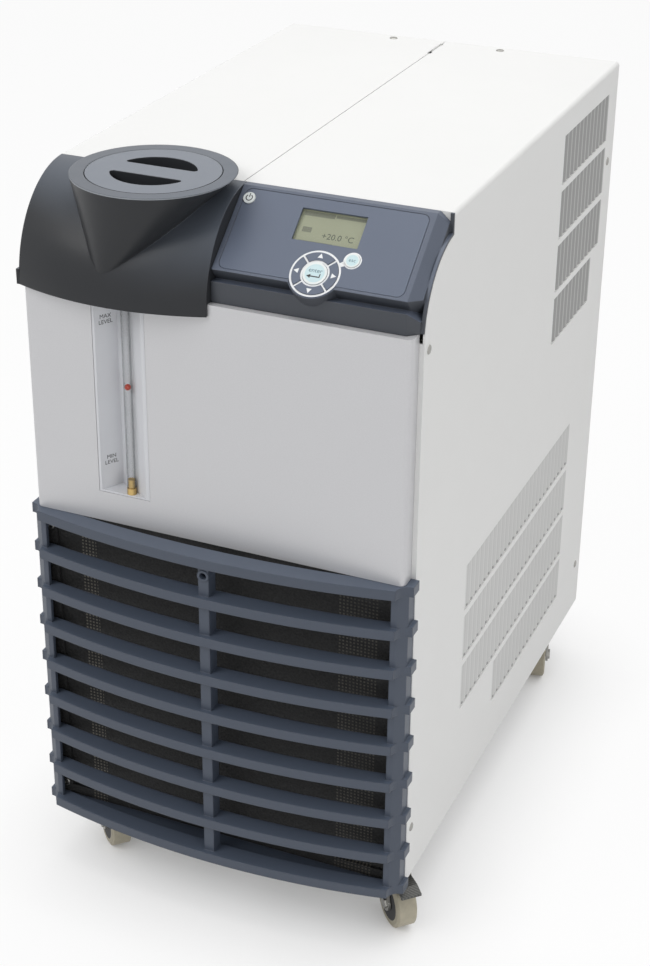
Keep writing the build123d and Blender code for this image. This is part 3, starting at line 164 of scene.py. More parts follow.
# Rows of louvres: first vane's place behind the case front and the row's top in millimetres, and its count.
# The finish paints shade into each vane's throat and a painted highlight along each vane's flush edge, and
# paints shadow at the foot of each row where the vanes close.
VANE_PITCH = 12.5 * MM
ROW_HEIGHT = 48 * MM
ROW_MARGIN = 0.3 * MM
FOOT_HEIGHT = 3.2 * MM
UPPER_ROWS = [(368, 667, 12), (368, 612.5, 12), (368, 558, 12), (368, 503.5, 10)]
LOWER_ROWS = [(136, 329, 26), (136, 274.5, 26), (136, 220, 26), (236, 165.5, 18)]
# Strength of the painted shade in the upper and the lower rows.
UPPER_PAINTED_SHADE, LOWER_PAINTED_SHADE = 1.35, 0.52
louvred = Finish("louvred_powder_coat", ENAMEL, 0.45, Specular_IOR_Level=0.4)
across, height = louvred.part_of(louvred.place, "Y"), louvred.part_of(louvred.place, "Z")
painted_vent_shade, painted_slit_shadow = 0.0, 0.0
for rows, depth in ((UPPER_ROWS, UPPER_PAINTED_SHADE), (LOWER_ROWS, LOWER_PAINTED_SHADE)):
    for start, top, count in rows:
        row_start, row_top = CASE_FRONT + start * MM, top * MM
        row_low = row_top - ROW_HEIGHT
        in_row = across.between(row_start, row_start + count * VANE_PITCH)
        painted_vent_shade = painted_vent_shade + in_row * height.between(row_low + ROW_MARGIN, row_top - ROW_MARGIN) * depth
        painted_slit_shadow = painted_slit_shadow + in_row * height.between(row_low + ROW_MARGIN, row_low + FOOT_HEIGHT)
first_vane = CASE_FRONT + UPPER_ROWS[0][0] * MM
turns = (across - first_vane) * (1 / VANE_PITCH) + 100.0
phase = louvred.node("ShaderNodeMath", {"operation": "FRACT"}, {0: turns})
# Painted shade over each row, lightened at one edge of each vane and deepened at the other, with painted
# shadow dots at the row's foot.
shade = painted_vent_shade * (0.43 - phase.between(0.86, 1.0) * 0.16 + phase.between(0.0, 0.12) * 0.1)
shade = shade + painted_slit_shadow * phase.between(0.02, 0.26) * 0.35
louvred.tint(1.0 - shade - louvred.noise(9, 3) * 0.03, 1.0, 0.0)
louvred.feed("Roughness", louvred.noise(60, 2) * 0.12 + 0.4)
louvred.relief(louvred.noise(1400, 2), 0.12, 0.0002)
louvred.wear("left_wrap", "right_wrap")

zinc = Finish("zinc_plate", (0.36, 0.355, 0.335), 0.42, 1.0)
zinc.tint(zinc.noise(55, 4), 1.12, 0.8)
zinc.feed("Roughness", zinc.noise(120, 3) * 0.2 + 0.32)
zinc.wear("base_pan", "fan_shroud", "electrical_box", "caster_mounts")


# Front panel: satin metallic paint on a shallow steel pan, notched for the level gauge.
# The paint has a fine metallic grain and the softest sheen of the outside parts.
satin = Finish("satin_metallic_paint", (0.62, 0.62, 0.635), 0.42, 0.25, Specular_IOR_Level=0.5)
satin.tint(satin.noise(900, 3), 1.05, 0.95)
satin.feed("Roughness", satin.noise(35, 2) * 0.1 + 0.34)
satin.relief(satin.noise(1600, 2), 0.08, 0.0002)
satin.wear("front_panel")


# Panel screws: zinc-plated pan heads with a cross recess, driven through the sheets and the filter frame.
# One is turned and punched, then copied to each hole.
SCREW_HEAD_RADIUS = 4.2 * MM
SCREW_HEAD = 1.8 * MM
SCREW_ROUNDING = 1.1 * MM
CASE_HALF = 180
SIDE_HOLES = ((11, 122), (11, 594), (530, 122), (530, 594))
TOP_HOLE = (58, 537, 692)
BAY_X, BAY_Y, BAY_HEIGHTS = 169, -8.5, (81, 365)


def polish(piece, name, angle=30):
    """Names a finished mesh, applies its place and smooths it up to an edge angle."""
    bpy.ops.object.select_all(action="DESELECT")
    piece.select_set(True)
    bpy.context.view_layer.objects.active = piece
    bpy.ops.object.transform_apply(location=True, rotation=True, scale=True)
    bpy.ops.object.shade_smooth_by_angle(angle=math.radians(angle))
    piece.name = name
    piece.data.name = name
    return piece


def apply_all(piece):
    bpy.ops.object.select_all(action="DESELECT")
    piece.select_set(True)
    bpy.context.view_layer.objects.active = piece
    for modifier in list(piece.modifiers):
        bpy.ops.object.modifier_apply(modifier=modifier.name)


def cut(piece, cutter):
    change = piece.modifiers.new("cut", "BOOLEAN")
    change.operation = "DIFFERENCE"
    change.object = cutter
    apply_all(piece)
    bpy.data.objects.remove(cutter, do_unlink=True)


def join(pieces):
    bpy.ops.object.select_all(action="DESELECT")
    for piece in pieces:
        piece.select_set(True)
    bpy.context.view_layer.objects.active = pieces[0]
    bpy.ops.object.join()
    return pieces[0]


def dress(piece, finish, body):
    piece.data.materials.clear()
    piece.data.materials.append(finish.material)
    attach(piece, body)


bpy.ops.mesh.primitive_cylinder_add(
    vertices=32, radius=SCREW_HEAD_RADIUS, depth=SCREW_HEAD, location=(0, 0, SCREW_HEAD / 2)
)
screw = bpy.context.object
bpy.ops.object.mode_set(mode="EDIT")
bpy.ops.mesh.select_all(action="DESELECT")
bpy.ops.object.mode_set(mode="OBJECT")
for edge in screw.data.edges:
    edge.select = all(screw.data.vertices[v].co.z > 0 for v in edge.vertices)
bpy.ops.object.mode_set(mode="EDIT")
bpy.ops.mesh.bevel(offset=SCREW_ROUNDING, segments=4)
bpy.ops.object.mode_set(mode="OBJECT")
for turn in (0, 90):
    bpy.ops.mesh.primitive_cone_add(
        vertices=4, radius1=0.9 * MM, radius2=2.6 * MM, depth=2.4 * MM, location=(0, 0, 1.4 * MM),
        rotation=(0, 0, math.radians(45)),
    )
    recess = bpy.context.object
    bpy.ops.object.transform_apply(location=False, rotation=True, scale=False)
    recess.scale = (1, 0.26, 1)
    recess.rotation_euler = (0, 0, math.radians(turn))
    bpy.ops.object.transform_apply(location=True, rotation=True, scale=True)
    cut(screw, recess)

# Each place holds a point in millimetres, two tilts and the recess's own turn in degrees.
screw_places = []
for side in (-1, 1):
    for y, z in SIDE_HOLES:
        screw_places.append(((side * CASE_HALF, y, z), (0, side * 90), 17 * y + z))
    screw_places.append(((side * TOP_HOLE[0], *TOP_HOLE[1:]), (0, 0), 31 + side * 20))
    for z in BAY_HEIGHTS:
        screw_places.append(((side * BAY_X, BAY_Y, z), (90, 0), 40 * side + z))
screws = []
for (x, y, z), turn, spin in screw_places:
    copy = bpy.data.objects.new("screw", screw.data.copy())
    bpy.context.collection.objects.link(copy)
    copy.matrix_world = (
        Matrix.Translation((x * MM, CASE_FRONT + y * MM, z * MM))
        @ Matrix.Rotation(math.radians(turn[0]), 4, "X")
        @ Matrix.Rotation(math.radians(turn[1]), 4, "Y")
        @ Matrix.Rotation(math.radians(spin), 4, "Z")
    )
    screws.append(copy)
bpy.data.objects.remove(screw, do_unlink=True)
screws = polish(join(screws), "pan_head_screws")
dress(screws, zinc, "cabinet")
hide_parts("panel_screws")


# Filler cover and cap: injection-moulded in dark grey, with a fine spark-eroded texture.
# The cap lifts out of the ring on its rubber seal; the seal and the natural tank show only from inside.
RING_TOP = 704.5 * MM
SHEEN_START, SHEEN_WIDTH = -100 * MM, 60 * MM
SLATE_PAINTED_SHEEN = (0.108, 0.123, 0.148)
moulding = Finish("dark_grey_moulding", (0.023, 0.025, 0.028), 0.36, Specular_IOR_Level=0.28)
# Up-facing faces of the cover are painted a lighter slate: a painted sheen for light reflected from above.
cover_painted_sheen = moulding.blend(moulding.upward(0.55, 1.0), moulding.colour, SLATE_PAINTED_SHEEN)
height = moulding.part_of(moulding.place, "Z")
# A thin band on the ring's side just under its top edge is painted pale: a painted highlight.
rim = height.between(RING_TOP - 1.1 * MM, RING_TOP + MM) * (1.0 - moulding.upward(0.5, 0.8))
# A painted sheen, standing in for a reflection, runs down the cover's right shoulder, beside the control
# desk.
across = (moulding.part_of(moulding.place, "X") - SHEEN_START) * (1 / SHEEN_WIDTH)
cover_painted_sheen = moulding.blend(across * moulding.upward(0.1, 0.8) * 0.6, cover_painted_sheen, (0.108, 0.126, 0.156))
rim_painted_highlight = moulding.blend(rim * 0.9, cover_painted_sheen, (0.42, 0.45, 0.49))
moulding.blend(moulding.noise(14, 3) * 0.25, rim_painted_highlight, (0.05, 0.05, 0.055))
moulding.feed("Roughness", moulding.noise(70, 3) * 0.12 + 0.27)
moulding.relief(moulding.noise(2400, 2), 0.16, 0.0002, 1.5 * MM)
moulding.wear("filler_cover")

CAP_LOW, CAP_HIGH = 698 * MM, 720 * MM
cap_moulding = Finish("slate_cap_moulding", (0.030, 0.032, 0.036), 0.34, Specular_IOR_Level=0.4)
height = cap_moulding.part_of(cap_moulding.place, "Z")
# The cap's up-facing top is painted a lighter slate: a painted sheen for light reflected from above.
cap_painted_sheen = cap_moulding.upward(0.4, 0.9) * height.between(CAP_LOW, CAP_HIGH)
cap_painted_sheen = cap_moulding.blend(cap_painted_sheen, cap_moulding.colour, (0.158, 0.178, 0.214))
cap_moulding.blend(cap_moulding.noise(14, 3) * 0.1, cap_painted_sheen, (0.11, 0.12, 0.14))
cap_moulding.feed("Roughness", cap_moulding.noise(70, 3) * 0.12 + 0.27)
cap_moulding.relief(cap_moulding.noise(2400, 2), 0.16, 0.0002, 1.2 * MM)
cap_moulding.wear("filler_cap")

natural = Finish("natural_moulding", (0.72, 0.72, 0.66), 0.4, Subsurface_Weight=0.2)
natural.tint(natural.noise(8, 3), 1.03, 0.94)
natural.relief(natural.noise(300, 3), 0.1, 0.0003)
natural.wear("reservoir")

rubber = Finish("black_rubber", (0.018, 0.018, 0.018), 0.7)
rubber.tint(rubber.noise(90, 4), 1.3, 0.8)
rubber.relief(rubber.noise(900, 3), 0.2, 0.0003)
rubber.wear("cap_seal", "compressor_grommets", "coolant_lines")


# Level gauge: pale moulded channel with printed marks, a clear tube on a brass fitting and a red float.
# The tube is extruded acrylic pushed over the barb.
channel = Finish("pale_channel_moulding", (0.68, 0.69, 0.72), 0.4, Specular_IOR_Level=0.4)
channel.tint(channel.noise(20, 3), 1.04, 0.96)
channel.relief(channel.noise(1200, 2), 0.06, 0.0002)
channel.wear("gauge_channel")

acrylic = Finish("clear_acrylic", (0.20, 0.215, 0.22), 0.06, IOR=1.49)
rim = acrylic.node("ShaderNodeLayerWeight", None, {"Blend": 0.42}, "Facing")
acrylic.feed("Alpha", rim * rim * 0.85 + 0.06)
acrylic.feed("Roughness", acrylic.noise(40, 2) * 0.08 + 0.04)
acrylic.wear("sight_tube")

brass = Finish("turned_brass", (0.62, 0.44, 0.18), 0.3, 1.0)
brass.tint(brass.noise(60, 4), 1.15, 0.75)
brass.feed("Roughness", brass.noise(200, 3) * 0.2 + 0.22)
brass.wear("gauge_fitting", "process_ports", "pump")

float_red = Finish("red_float", (0.55, 0.05, 0.02), 0.3)
float_red.tint(float_red.noise(300, 2), 1.1, 0.85)
float_red.wear("float_ball")

ink = Finish("dark_print", (0.012, 0.012, 0.014), 0.5)
ink.tint(ink.noise(700, 2), 1.2, 0.9)


def lettering(words, size, place, name, finish, body, thickness=0.06 * MM):
    """Flat printed words or a number, made a mesh and set on a surface by its matrix."""
    bpy.ops.object.select_all(action="DESELECT")
    bpy.ops.object.text_add()
    text = bpy.context.object
    text.data.body = words
    text.data.size = size
    text.data.align_x = "CENTER"
    text.data.align_y = "CENTER"
    text.data.extrude = thickness / 2
    text.data.resolution_u = 3
    bpy.ops.object.convert(target="MESH")
    text = bpy.context.object
    text.matrix_world = place
    polish(text, name)
    dress(text, finish, body)
    return text


def surface(origin, right, up):
    """Matrix that lays local X and Y along right and up with its origin on a surface."""
    right = Vector(right).normalized()
    up = Vector(up).normalized()
    out = right.cross(up)
    return Matrix((
        (right.x, up.x, out.x, origin[0]),
        (right.y, up.y, out.y, origin[1]),
        (right.z, up.z, out.z, origin[2]),
        (0, 0, 0, 1),
    ))


# The marks lie on the channel's slanted left wall, which runs from its front edge back to the tube.
MARK_HEIGHTS = {"MAX": 578, "MIN": 446}
wall_start = Vector((-108.5 * MM, CASE_FRONT - 16.3 * MM, 0))
wall_end = Vector((-97 * MM, CASE_FRONT + 2 * MM, 0))
wall_run = (wall_end - wall_start).normalized()
wall_out = Vector((wall_run.y, -wall_run.x, 0))
for word, z in MARK_HEIGHTS.items():
    middle = wall_start + (wall_end - wall_start) * 0.5 + wall_out * 0.05 * MM + Vector((0, 0, z * MM))
    place = surface(middle, wall_run, (0, 0, 1))
    lettering(f"{word}\nLEVEL", 5.2 * MM, place, f"mark_{word.lower()}", ink, "cabinet")


# Control desk: slate-grey moulding with a satin overlay, a backlit screen, seven keys and their printing.
# The overlay drops into a recess; each key stands proud of it by less than a millimetre.
slate = Finish("slate_grey_moulding", (0.058, 0.064, 0.076), 0.42, Specular_IOR_Level=0.4)
# Up-facing faces of the housing are painted a lighter slate: painted light from above.
desk_painted_top_light = slate.blend(slate.upward(0.25, 0.7), slate.colour, (0.112, 0.132, 0.178))
slate.blend(slate.noise(16, 3) * 0.16, desk_painted_top_light, (0.05, 0.058, 0.072))
slate.feed("Roughness", slate.noise(70, 3) * 0.12 + 0.34)
slate.relief(slate.noise(2400, 2), 0.14, 0.0002, 1.2 * MM)
slate.wear("console_housing")

film = Finish("slate_overlay_film", (0.120, 0.143, 0.195), 0.36, Specular_IOR_Level=0.4)
film.tint(film.noise(12, 2), 1.06, 0.96)
film.relief(film.noise(3200, 2), 0.1, 0.0001)
film.wear("console_overlay", "up_key", "down_key", "left_key", "right_key")

key_white = Finish("white_key", (0.80, 0.84, 0.83), 0.35)
key_white.tint(key_white.noise(80, 2), 1.0, 0.96)
key_white.wear("enter_key", "escape_key", "power_key")

screen = Finish("screen_glow", (0.27, 0.285, 0.19), 0.4, Emission_Strength=0.1)
screen.tint(screen.noise(30, 2), 1.06, 0.94)
screen.shader.inputs["Emission Color"].default_value = (0.33, 0.35, 0.24, 1)
screen.wear("display_module")

window = Finish("clear_window", (0.5, 0.52, 0.5), 0.12, Alpha=0.06)
window.feed("Roughness", window.noise(40, 2) * 0.08 + 0.08)
window.wear("display_window")

print_white = Finish("white_print", (0.85, 0.86, 0.87), 0.4)
print_white.tint(print_white.noise(400, 2), 1.0, 0.96)

DESK_TILT = math.atan2(52, 63.5)
DESK_UP = Vector((0, math.cos(DESK_TILT), math.sin(DESK_TILT)))
DESK_OUT = Vector((0, -math.sin(DESK_TILT), math.cos(DESK_TILT)))
DESK_ORIGIN = Vector((0, CASE_FRONT - 9.5 * MM, 640 * MM))


def on_desk(x, s, lift, turn=0):
    """Place on the desk in millimetres: x along it, s up its slope, lift above it, turned in its plane."""
    origin = DESK_ORIGIN + Vector((x * MM, 0, 0)) + DESK_UP * s * MM + DESK_OUT * lift * MM
    return surface(origin, (1, 0, 0), DESK_UP) @ Matrix.Rotation(math.radians(turn), 4, "Z")


def print_shape(rings, place, name, finish, body, thickness=0.08 * MM):
    """Flat print from filled outlines given as lists of points in millimetres, raised by its ink."""
    curve = bpy.data.curves.new(name, "CURVE")
    curve.dimensions = "2D"
    curve.fill_mode = "BOTH"
    curve.extrude = thickness / 2
    for points in rings:
        spline = curve.splines.new("POLY")
        spline.points.add(len(points) - 1)
        for point, (x, y) in zip(spline.points, points):
            point.co = (x * MM, y * MM, 0, 1)
        spline.use_cyclic_u = True
    piece = bpy.data.objects.new(name, curve)
    bpy.context.collection.objects.link(piece)
    bpy.ops.object.select_all(action="DESELECT")
    piece.select_set(True)
    bpy.context.view_layer.objects.active = piece
    bpy.ops.object.convert(target="MESH")
    piece = bpy.context.object
    piece.matrix_world = place
    polish(piece, name)
    dress(piece, finish, body)
    return piece


def circle(radius, x=0.0, y=0.0, count=64):
    return [
        (x + radius * math.cos(2 * math.pi * k / count), y + radius * math.sin(2 * math.pi * k / count))
        for k in range(count)
    ]


# Places on the desk (x and s), and how far the prints lie above the overlay, the keys and the screen.
WHEEL = (86.0, 11.3)
ESCAPE = (112.8, 27.9)
POWER = (7.8, 70.0)
ON_OVERLAY, ON_KEY, DISC_ON_KEY, ON_DISC, ON_SCREEN = 0.05, 0.85, 0.84, 0.9, -3.44
print_shape([circle(21.3), circle(19.6)], on_desk(*WHEEL, ON_OVERLAY), "pad_ring", print_white, "cabinet")
print_shape(
    [circle(12.2, count=48), circle(10.6, count=48)],
    on_desk(*WHEEL, ON_OVERLAY), "enter_ring", print_white, "cabinet",
)
for k in range(4):
    spoke = [(12.0, -0.75), (19.8, -0.75), (19.8, 0.75), (12.0, 0.75)]
    print_shape([spoke], on_desk(*WHEEL, ON_OVERLAY, 45 + 90 * k), f"pad_spoke_{k}", print_white, "cabinet")
for k, key in enumerate(("right_key", "up_key", "left_key", "down_key")):
    arrow = [(18.4, 0.0), (14.2, 2.3), (14.2, -2.3)]
    print_shape([arrow], on_desk(*WHEEL, ON_KEY, 90 * k), f"{key}_arrow", print_white, key)
escape_x, escape_s = ESCAPE[0] - WHEEL[0], ESCAPE[1] - WHEEL[1]
print_shape(
    [circle(7.6, escape_x, escape_s, 40), circle(6.5, escape_x, escape_s, 40)],
    on_desk(*WHEEL, ON_OVERLAY), "escape_ring", print_white, "cabinet",
)
neck_turn = math.degrees(math.atan2(escape_s, escape_x))
print_shape(
    [[(21.0, -1.9), (24.6, -2.2), (24.6, 2.2), (21.0, 1.9)]],
    on_desk(*WHEEL, ON_OVERLAY, neck_turn), "escape_neck", print_white, "cabinet",
)
pale_teal = Finish("pale_teal_print", (0.60, 0.76, 0.79), 0.4)
pale_teal.tint(pale_teal.noise(400, 2), 1.0, 0.95)
deep_teal = Finish("deep_teal_print", (0.05, 0.14, 0.18), 0.5)
deep_teal.tint(deep_teal.noise(500, 2), 1.2, 0.9)
print_shape([circle(8.3, count=48)], on_desk(*WHEEL, DISC_ON_KEY), "enter_disc", pale_teal, "enter_key")
print_shape([circle(5.0, count=40)], on_desk(*ESCAPE, DISC_ON_KEY), "escape_disc", pale_teal, "escape_key")
enter_place = on_desk(WHEEL[0], WHEEL[1] + 2.4, ON_DISC)
lettering("enter", 5.4 * MM, enter_place, "enter_word", deep_teal, "enter_key")
enter_arrow = [
    (5.2, 1.6), (5.2, -2.0), (-3.0, -2.0), (-3.0, -3.3), (-6.4, -1.5), (-3.0, 0.3), (-3.0, -1.0),
    (4.4, -1.0), (4.4, 1.6),
]
arrow_place = on_desk(WHEEL[0], WHEEL[1] - 1.6, ON_DISC)
print_shape([enter_arrow], arrow_place, "enter_arrow", ink, "enter_key")
lettering("esc", 4.6 * MM, on_desk(*ESCAPE, ON_DISC), "escape_word", deep_teal, "escape_key")
ARC_OUTER, ARC_INNER = 3.1, 2.3
arc = [(ARC_OUTER * math.sin(a), ARC_OUTER * math.cos(a)) for a in map(math.radians, range(32, 329, 12))]
arc += [(ARC_INNER * x / ARC_OUTER, ARC_INNER * y / ARC_OUTER) for x, y in reversed(arc)]
print_shape([arc], on_desk(*POWER, ON_KEY), "power_arc", ink, "power_key")
power_bar = [(-0.4, 0.6), (0.4, 0.6), (0.4, 4.0), (-0.4, 4.0)]
print_shape([power_bar], on_desk(*POWER, ON_KEY), "power_bar", ink, "power_key")

lcd_ink = Finish("screen_print", (0.05, 0.06, 0.04), 0.5)
lcd_ink.tint(lcd_ink.noise(500, 2), 1.2, 0.9)
faded_ink = Finish("faded_screen_print", (0.15, 0.16, 0.11), 0.5)
faded_ink.tint(faded_ink.noise(900, 2), 1.25, 0.8)
lettering(
    "+20.0 °C", 7.6 * MM, on_desk(92.5, 47.5, ON_SCREEN), "screen_value", lcd_ink, "cabinet", 0.02 * MM
)
# Bars of the screen: place up the slope, left end, length and half height, in millimetres.
SCREEN_BARS = ((66.4, 57.5, 27, 2.1), (66.8, 85.5, 26, 1.4), (40.6, 60, 30, 0.7), (51.5, 60.5, 8, 2.4))
for row, (s, x, length, half) in enumerate(SCREEN_BARS):
    bar = [(x, -half), (x + length, -half), (x + length, half), (x, half)]
    print_shape([bar], on_desk(0, s, ON_SCREEN), f"screen_bar_{row}", faded_ink, "cabinet", 0.02 * MM)


# Intake grille and filter: slate-grey moulded bars, bowed over a black open-cell filter screen.
# The screen is woven; its weave shows between the bars.
grille_slate = Finish("grille_slate_moulding", (0.066, 0.081, 0.112), 0.42, Specular_IOR_Level=0.45)
# The bars' up-facing tops are painted a lighter slate: painted light from above.
bar_painted_top_light = grille_slate.blend(grille_slate.upward(0.3, 0.8), grille_slate.colour, (0.098, 0.122, 0.168))
grille_slate.blend(grille_slate.noise(16, 3) * 0.16, bar_painted_top_light, (0.06, 0.073, 0.10))
grille_slate.feed("Roughness", grille_slate.noise(70, 3) * 0.12 + 0.36)
grille_slate.relief(grille_slate.noise(2400, 2), 0.14, 0.0002, 1.6 * MM)
grille_slate.wear("grille")

# The sill closes the view under the filter: a bowed strip behind the lowest bar, in millimetres.
SILL_END, SILL_BACK, SILL_FRONT = 165.0, -3.0, -25.6
SILL_BOW = abs(SILL_FRONT + 11.5)
SILL_TOP, SILL_THICKNESS = 66.0 * MM, 2.4 * MM
SILL_STEPS = 24
sill_radius = (SILL_END ** 2 + SILL_BOW ** 2) / (2 * SILL_BOW)
sill = [(SILL_END, SILL_BACK), (-SILL_END, SILL_BACK)]
for step in range(SILL_STEPS + 1):
    x = -SILL_END + step * 2 * SILL_END / SILL_STEPS
    sill.append((x, SILL_FRONT + sill_radius - math.sqrt(sill_radius ** 2 - x ** 2)))
sill_place = surface((0, CASE_FRONT, SILL_TOP), (1, 0, 0), (0, 1, 0))
print_shape([sill], sill_place, "grille_sill", grille_slate, "cabinet", SILL_THICKNESS)

weave = Finish("black_filter_screen", (0.010, 0.010, 0.010), 0.65)
cells = weave.node("ShaderNodeTexVoronoi", None, {"Vector": weave.place, "Scale": 420.0}, "Distance")
woven = weave.tint(cells, 2.2, 0.5)
across, height = weave.part_of(weave.place, "X"), weave.part_of(weave.place, "Z")
MESH = 3.4 * MM
LEFT_PATCH, RIGHT_PATCH = (-139 * MM, -124 * MM), (112 * MM, 150 * MM)
warp = weave.node("ShaderNodeMath", {"operation": "FRACT"}, {0: across * (1 / MESH) + 100.0})
weft = weave.node("ShaderNodeMath", {"operation": "FRACT"}, {0: height * (1 / MESH)})
# Two patches of the weave's holes are painted a pale tan: painted light on parts seen lit through the
# screen.
lit = across.between(*LEFT_PATCH) + across.between(*RIGHT_PATCH) * weave.noise(26, 2)
weave.blend(lit * warp.between(0.3, 0.8) * weft.between(0.3, 0.8) * 0.75, woven, (0.20, 0.185, 0.155))
weave.relief(cells, 0.7, 0.0008)
weave.wear("air_filter")


# Cooling circuit inside the cabinet: painted compressor and motors, finned condenser, brazed copper tube.
# They show a little through the louvres, the intake and the exhaust slots.
black_paint = Finish("black_machine_paint", (0.02, 0.02, 0.022), 0.4)
black_paint.tint(black_paint.noise(25, 4), 1.3, 0.8)
black_paint.relief(black_paint.noise(500, 3), 0.1, 0.0003)
black_paint.wear("compressor", "pump_motor", "fan_motor", "fan", "power_inlet", "inlet_switch")

fins = Finish("aluminium_fins", (0.42, 0.43, 0.44), 0.4, 1.0)
comb = fins.node(
    "ShaderNodeTexWave", {"wave_type": "BANDS", "bands_direction": "X"},
    {"Vector": fins.place, "Scale": 160.0},
)
fins.tint(comb, 1.1, 0.45)
fins.relief(comb, 0.6, 0.0008)
fins.wear("condenser", "evaporator")

copper = Finish("drawn_copper", (0.60, 0.27, 0.14), 0.3, 1.0)
copper.tint(copper.noise(40, 4), 1.1, 0.7)
copper.feed("Roughness", copper.noise(100, 3) * 0.25 + 0.2)
copper.wear("refrigerant_lines")


# Casters: zinc-plated forks and axles, dark ribbed pedals and a grey-beige rubber tread.
# Each wheel is moulded over its hub and turns on a plain axle.
pedal_steel = Finish("dark_pedal_steel", (0.11, 0.11, 0.105), 0.45, 0.6)
ribs = pedal_steel.node(
    "ShaderNodeTexWave", {"wave_type": "BANDS", "bands_direction": "Y"},
    {"Vector": pedal_steel.place, "Scale": 130.0},
)
pedal_steel.tint(ribs, 1.25, 0.7)
pedal_steel.relief(ribs, 0.5, 0.0006)
HUB_REACH = 20.5 * MM
for corner in ("front_left", "front_right", "rear_left", "rear_right"):
    low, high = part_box(f"{corner}_wheel")
    tread = Finish(f"{corner}_tread", (0.47, 0.43, 0.33), 0.6)
    rubber_tone = tread.tint(tread.noise(160, 4), 1.12, 0.78)
    reach = tread.node(
        "ShaderNodeVectorMath", {"operation": "DISTANCE"}, {0: tread.place, 1: tuple((low + high) / 2)}, 1
    )
    tread.blend(reach.between(0.0, HUB_REACH), rubber_tone, (0.022, 0.022, 0.024))
    tread.relief(tread.noise(700, 3), 0.15, 0.0004)
    tread.wear(f"{corner}_wheel")
    zinc.wear(f"{corner}_fork", f"{corner}_axle")
    pedal_steel.wear(f"{corner}_brake_pedal")


# Studio: pale floor and backdrop that show white to the camera, a soft key from the upper left front,
# a soft lamp above and a weak one at the right, with the camera at the photograph's viewing angle.
FLOOR_SHARE, SHADOW_REACH = 0.92, 0.13


def seen_white(tree, lit, share, near=0.0):
    """Shader with a share of plain white for camera, glossy and transmission rays, less near things: a
    painted shade that deepens the floor's shadow around them.
    """
    glow = tree.nodes.new("ShaderNodeEmission")
    glow.inputs["Color"].default_value = (1, 1, 1, 1)
    glow.inputs["Strength"].default_value = 1.0
    rays = tree.nodes.new("ShaderNodeLightPath")
    seen = rays.outputs["Is Camera Ray"]
    for other in ("Is Glossy Ray", "Is Transmission Ray"):
        either = tree.nodes.new("ShaderNodeMath")
        either.operation = "MAXIMUM"
        tree.links.new(seen, either.inputs[0])
        tree.links.new(rays.outputs[other], either.inputs[1])
        seen = either.outputs[0]
    portion = tree.nodes.new("ShaderNodeMath")
    portion.operation = "MULTIPLY"
    tree.links.new(seen, portion.inputs[0])
    portion.inputs[1].default_value = share
    if near:
        open_sky = tree.nodes.new("ShaderNodeAmbientOcclusion")
        open_sky.samples = 8
        open_sky.inputs["Distance"].default_value = near
        tree.links.new(open_sky.outputs["AO"], portion.inputs[1])
        kept = tree.nodes.new("ShaderNodeMath")
        kept.operation = "MULTIPLY"
        tree.links.new(portion.outputs[0], kept.inputs[0])
        kept.inputs[1].default_value = share
        portion = kept
    mix = tree.nodes.new("ShaderNodeMixShader")
    tree.links.new(portion.outputs[0], mix.inputs[0])
    tree.links.new(lit, mix.inputs[1])
    tree.links.new(glow.outputs[0], mix.inputs[2])
    return mix.outputs[0]


floor_paint = bpy.data.materials.new("studio_floor")
floor_paint.use_nodes = True
floor_nodes = floor_paint.node_tree.nodes
floor_nodes["Principled BSDF"].inputs["Base Color"].default_value = (0.90, 0.90, 0.90, 1)
floor_nodes["Principled BSDF"].inputs["Roughness"].default_value = 0.8
floor_paint.node_tree.links.new(
    seen_white(
        floor_paint.node_tree, floor_nodes["Principled BSDF"].outputs[0], FLOOR_SHARE, SHADOW_REACH
    ),
    floor_nodes["Material Output"].inputs["Surface"],
)
bpy.ops.mesh.primitive_plane_add(size=14, location=(0, 0, 0))
floor = bpy.context.object
floor.name = "studio_floor"
floor.data.materials.append(floor_paint)

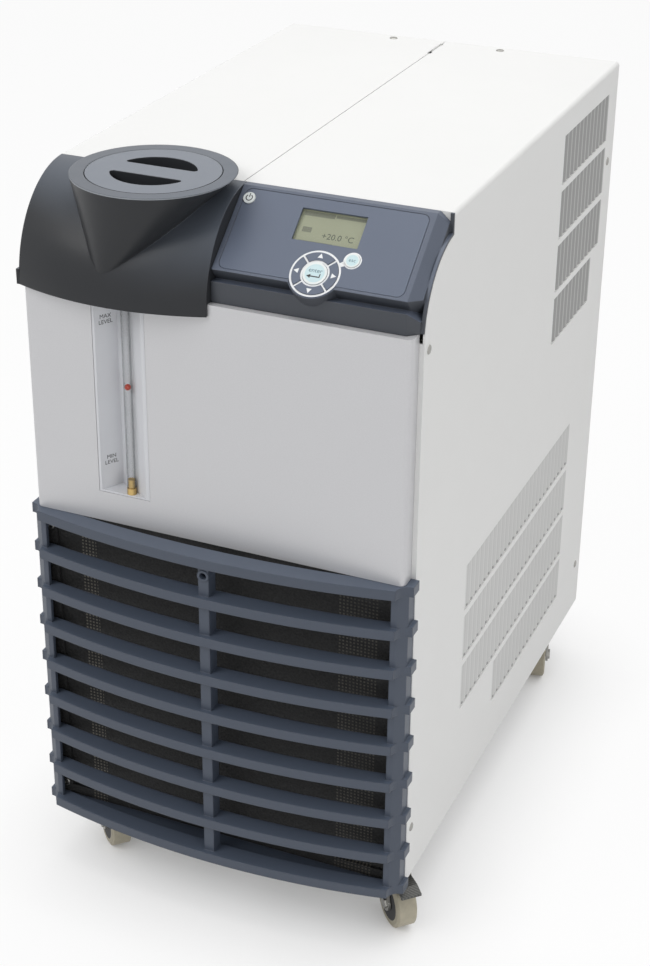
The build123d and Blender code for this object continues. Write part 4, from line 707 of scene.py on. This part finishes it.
world = bpy.data.worlds.new("studio")
bpy.context.scene.world = world
world.use_nodes = True
world_nodes = world.node_tree.nodes
world_nodes["Background"].inputs["Color"].default_value = (1, 1, 1, 1)
world_nodes["Background"].inputs["Strength"].default_value = 0.39
world.node_tree.links.new(
    seen_white(world.node_tree, world_nodes["Background"].outputs[0], 1.0),
    world_nodes["World Output"].inputs["Surface"],
)


def lamp(name, place, aim, size, watts):
    light = bpy.data.lights.new(name, "AREA")
    light.shape = "RECTANGLE"
    light.size = size[0]
    light.size_y = size[1]
    light.energy = watts
    holder = bpy.data.objects.new(name, light)
    bpy.context.collection.objects.link(holder)
    holder.location = place
    holder.rotation_euler = (Vector(aim) - Vector(place)).to_track_quat("-Z", "Y").to_euler()


lamp("key_light", (-1.3, -2.0, 2.6), (0, 0, 0.4), (1.6, 1.6), 30)
lamp("top_light", (0.2, 0.4, 2.8), (0, 0, 0.5), (2.2, 2.2), 34)
lamp("side_light", (1.9, -1.5, 0.8), (0.1, -0.1, 0.35), (1.0, 1.0), 8)

# The camera's turns, place and lens are those fitted to the photograph.
YAW = math.radians(23.042)
PITCH = math.radians(27.307)
ROLL = math.radians(0.538)
EYE = Vector((0.6462, -1.3061 + CASE_FRONT, 1.2074))
PICTURE_HEIGHT, FOCAL_PIXELS, SHIFT_PIXELS = 966, 1916.0, (6.1, -15.2)
forward = Vector((-math.sin(YAW) * math.cos(PITCH), math.cos(YAW) * math.cos(PITCH), -math.sin(PITCH)))
level_right = Vector((math.cos(YAW), math.sin(YAW), 0))
level_up = level_right.cross(forward)
right = level_right * math.cos(ROLL) + level_up * math.sin(ROLL)
up = level_up * math.cos(ROLL) - level_right * math.sin(ROLL)
lens = bpy.data.cameras.new("camera")
camera = bpy.data.objects.new("camera", lens)
bpy.context.collection.objects.link(camera)
camera.matrix_world = Matrix((
    (right.x, up.x, -forward.x, EYE.x),
    (right.y, up.y, -forward.y, EYE.y),
    (right.z, up.z, -forward.z, EYE.z),
    (0, 0, 0, 1),
))
lens.sensor_width = 36
lens.lens = FOCAL_PIXELS * lens.sensor_width / PICTURE_HEIGHT
lens.shift_x = SHIFT_PIXELS[0] / PICTURE_HEIGHT
lens.shift_y = SHIFT_PIXELS[1] / PICTURE_HEIGHT
bpy.context.scene.camera = camera
bpy.context.scene.view_settings.view_transform = "Standard"
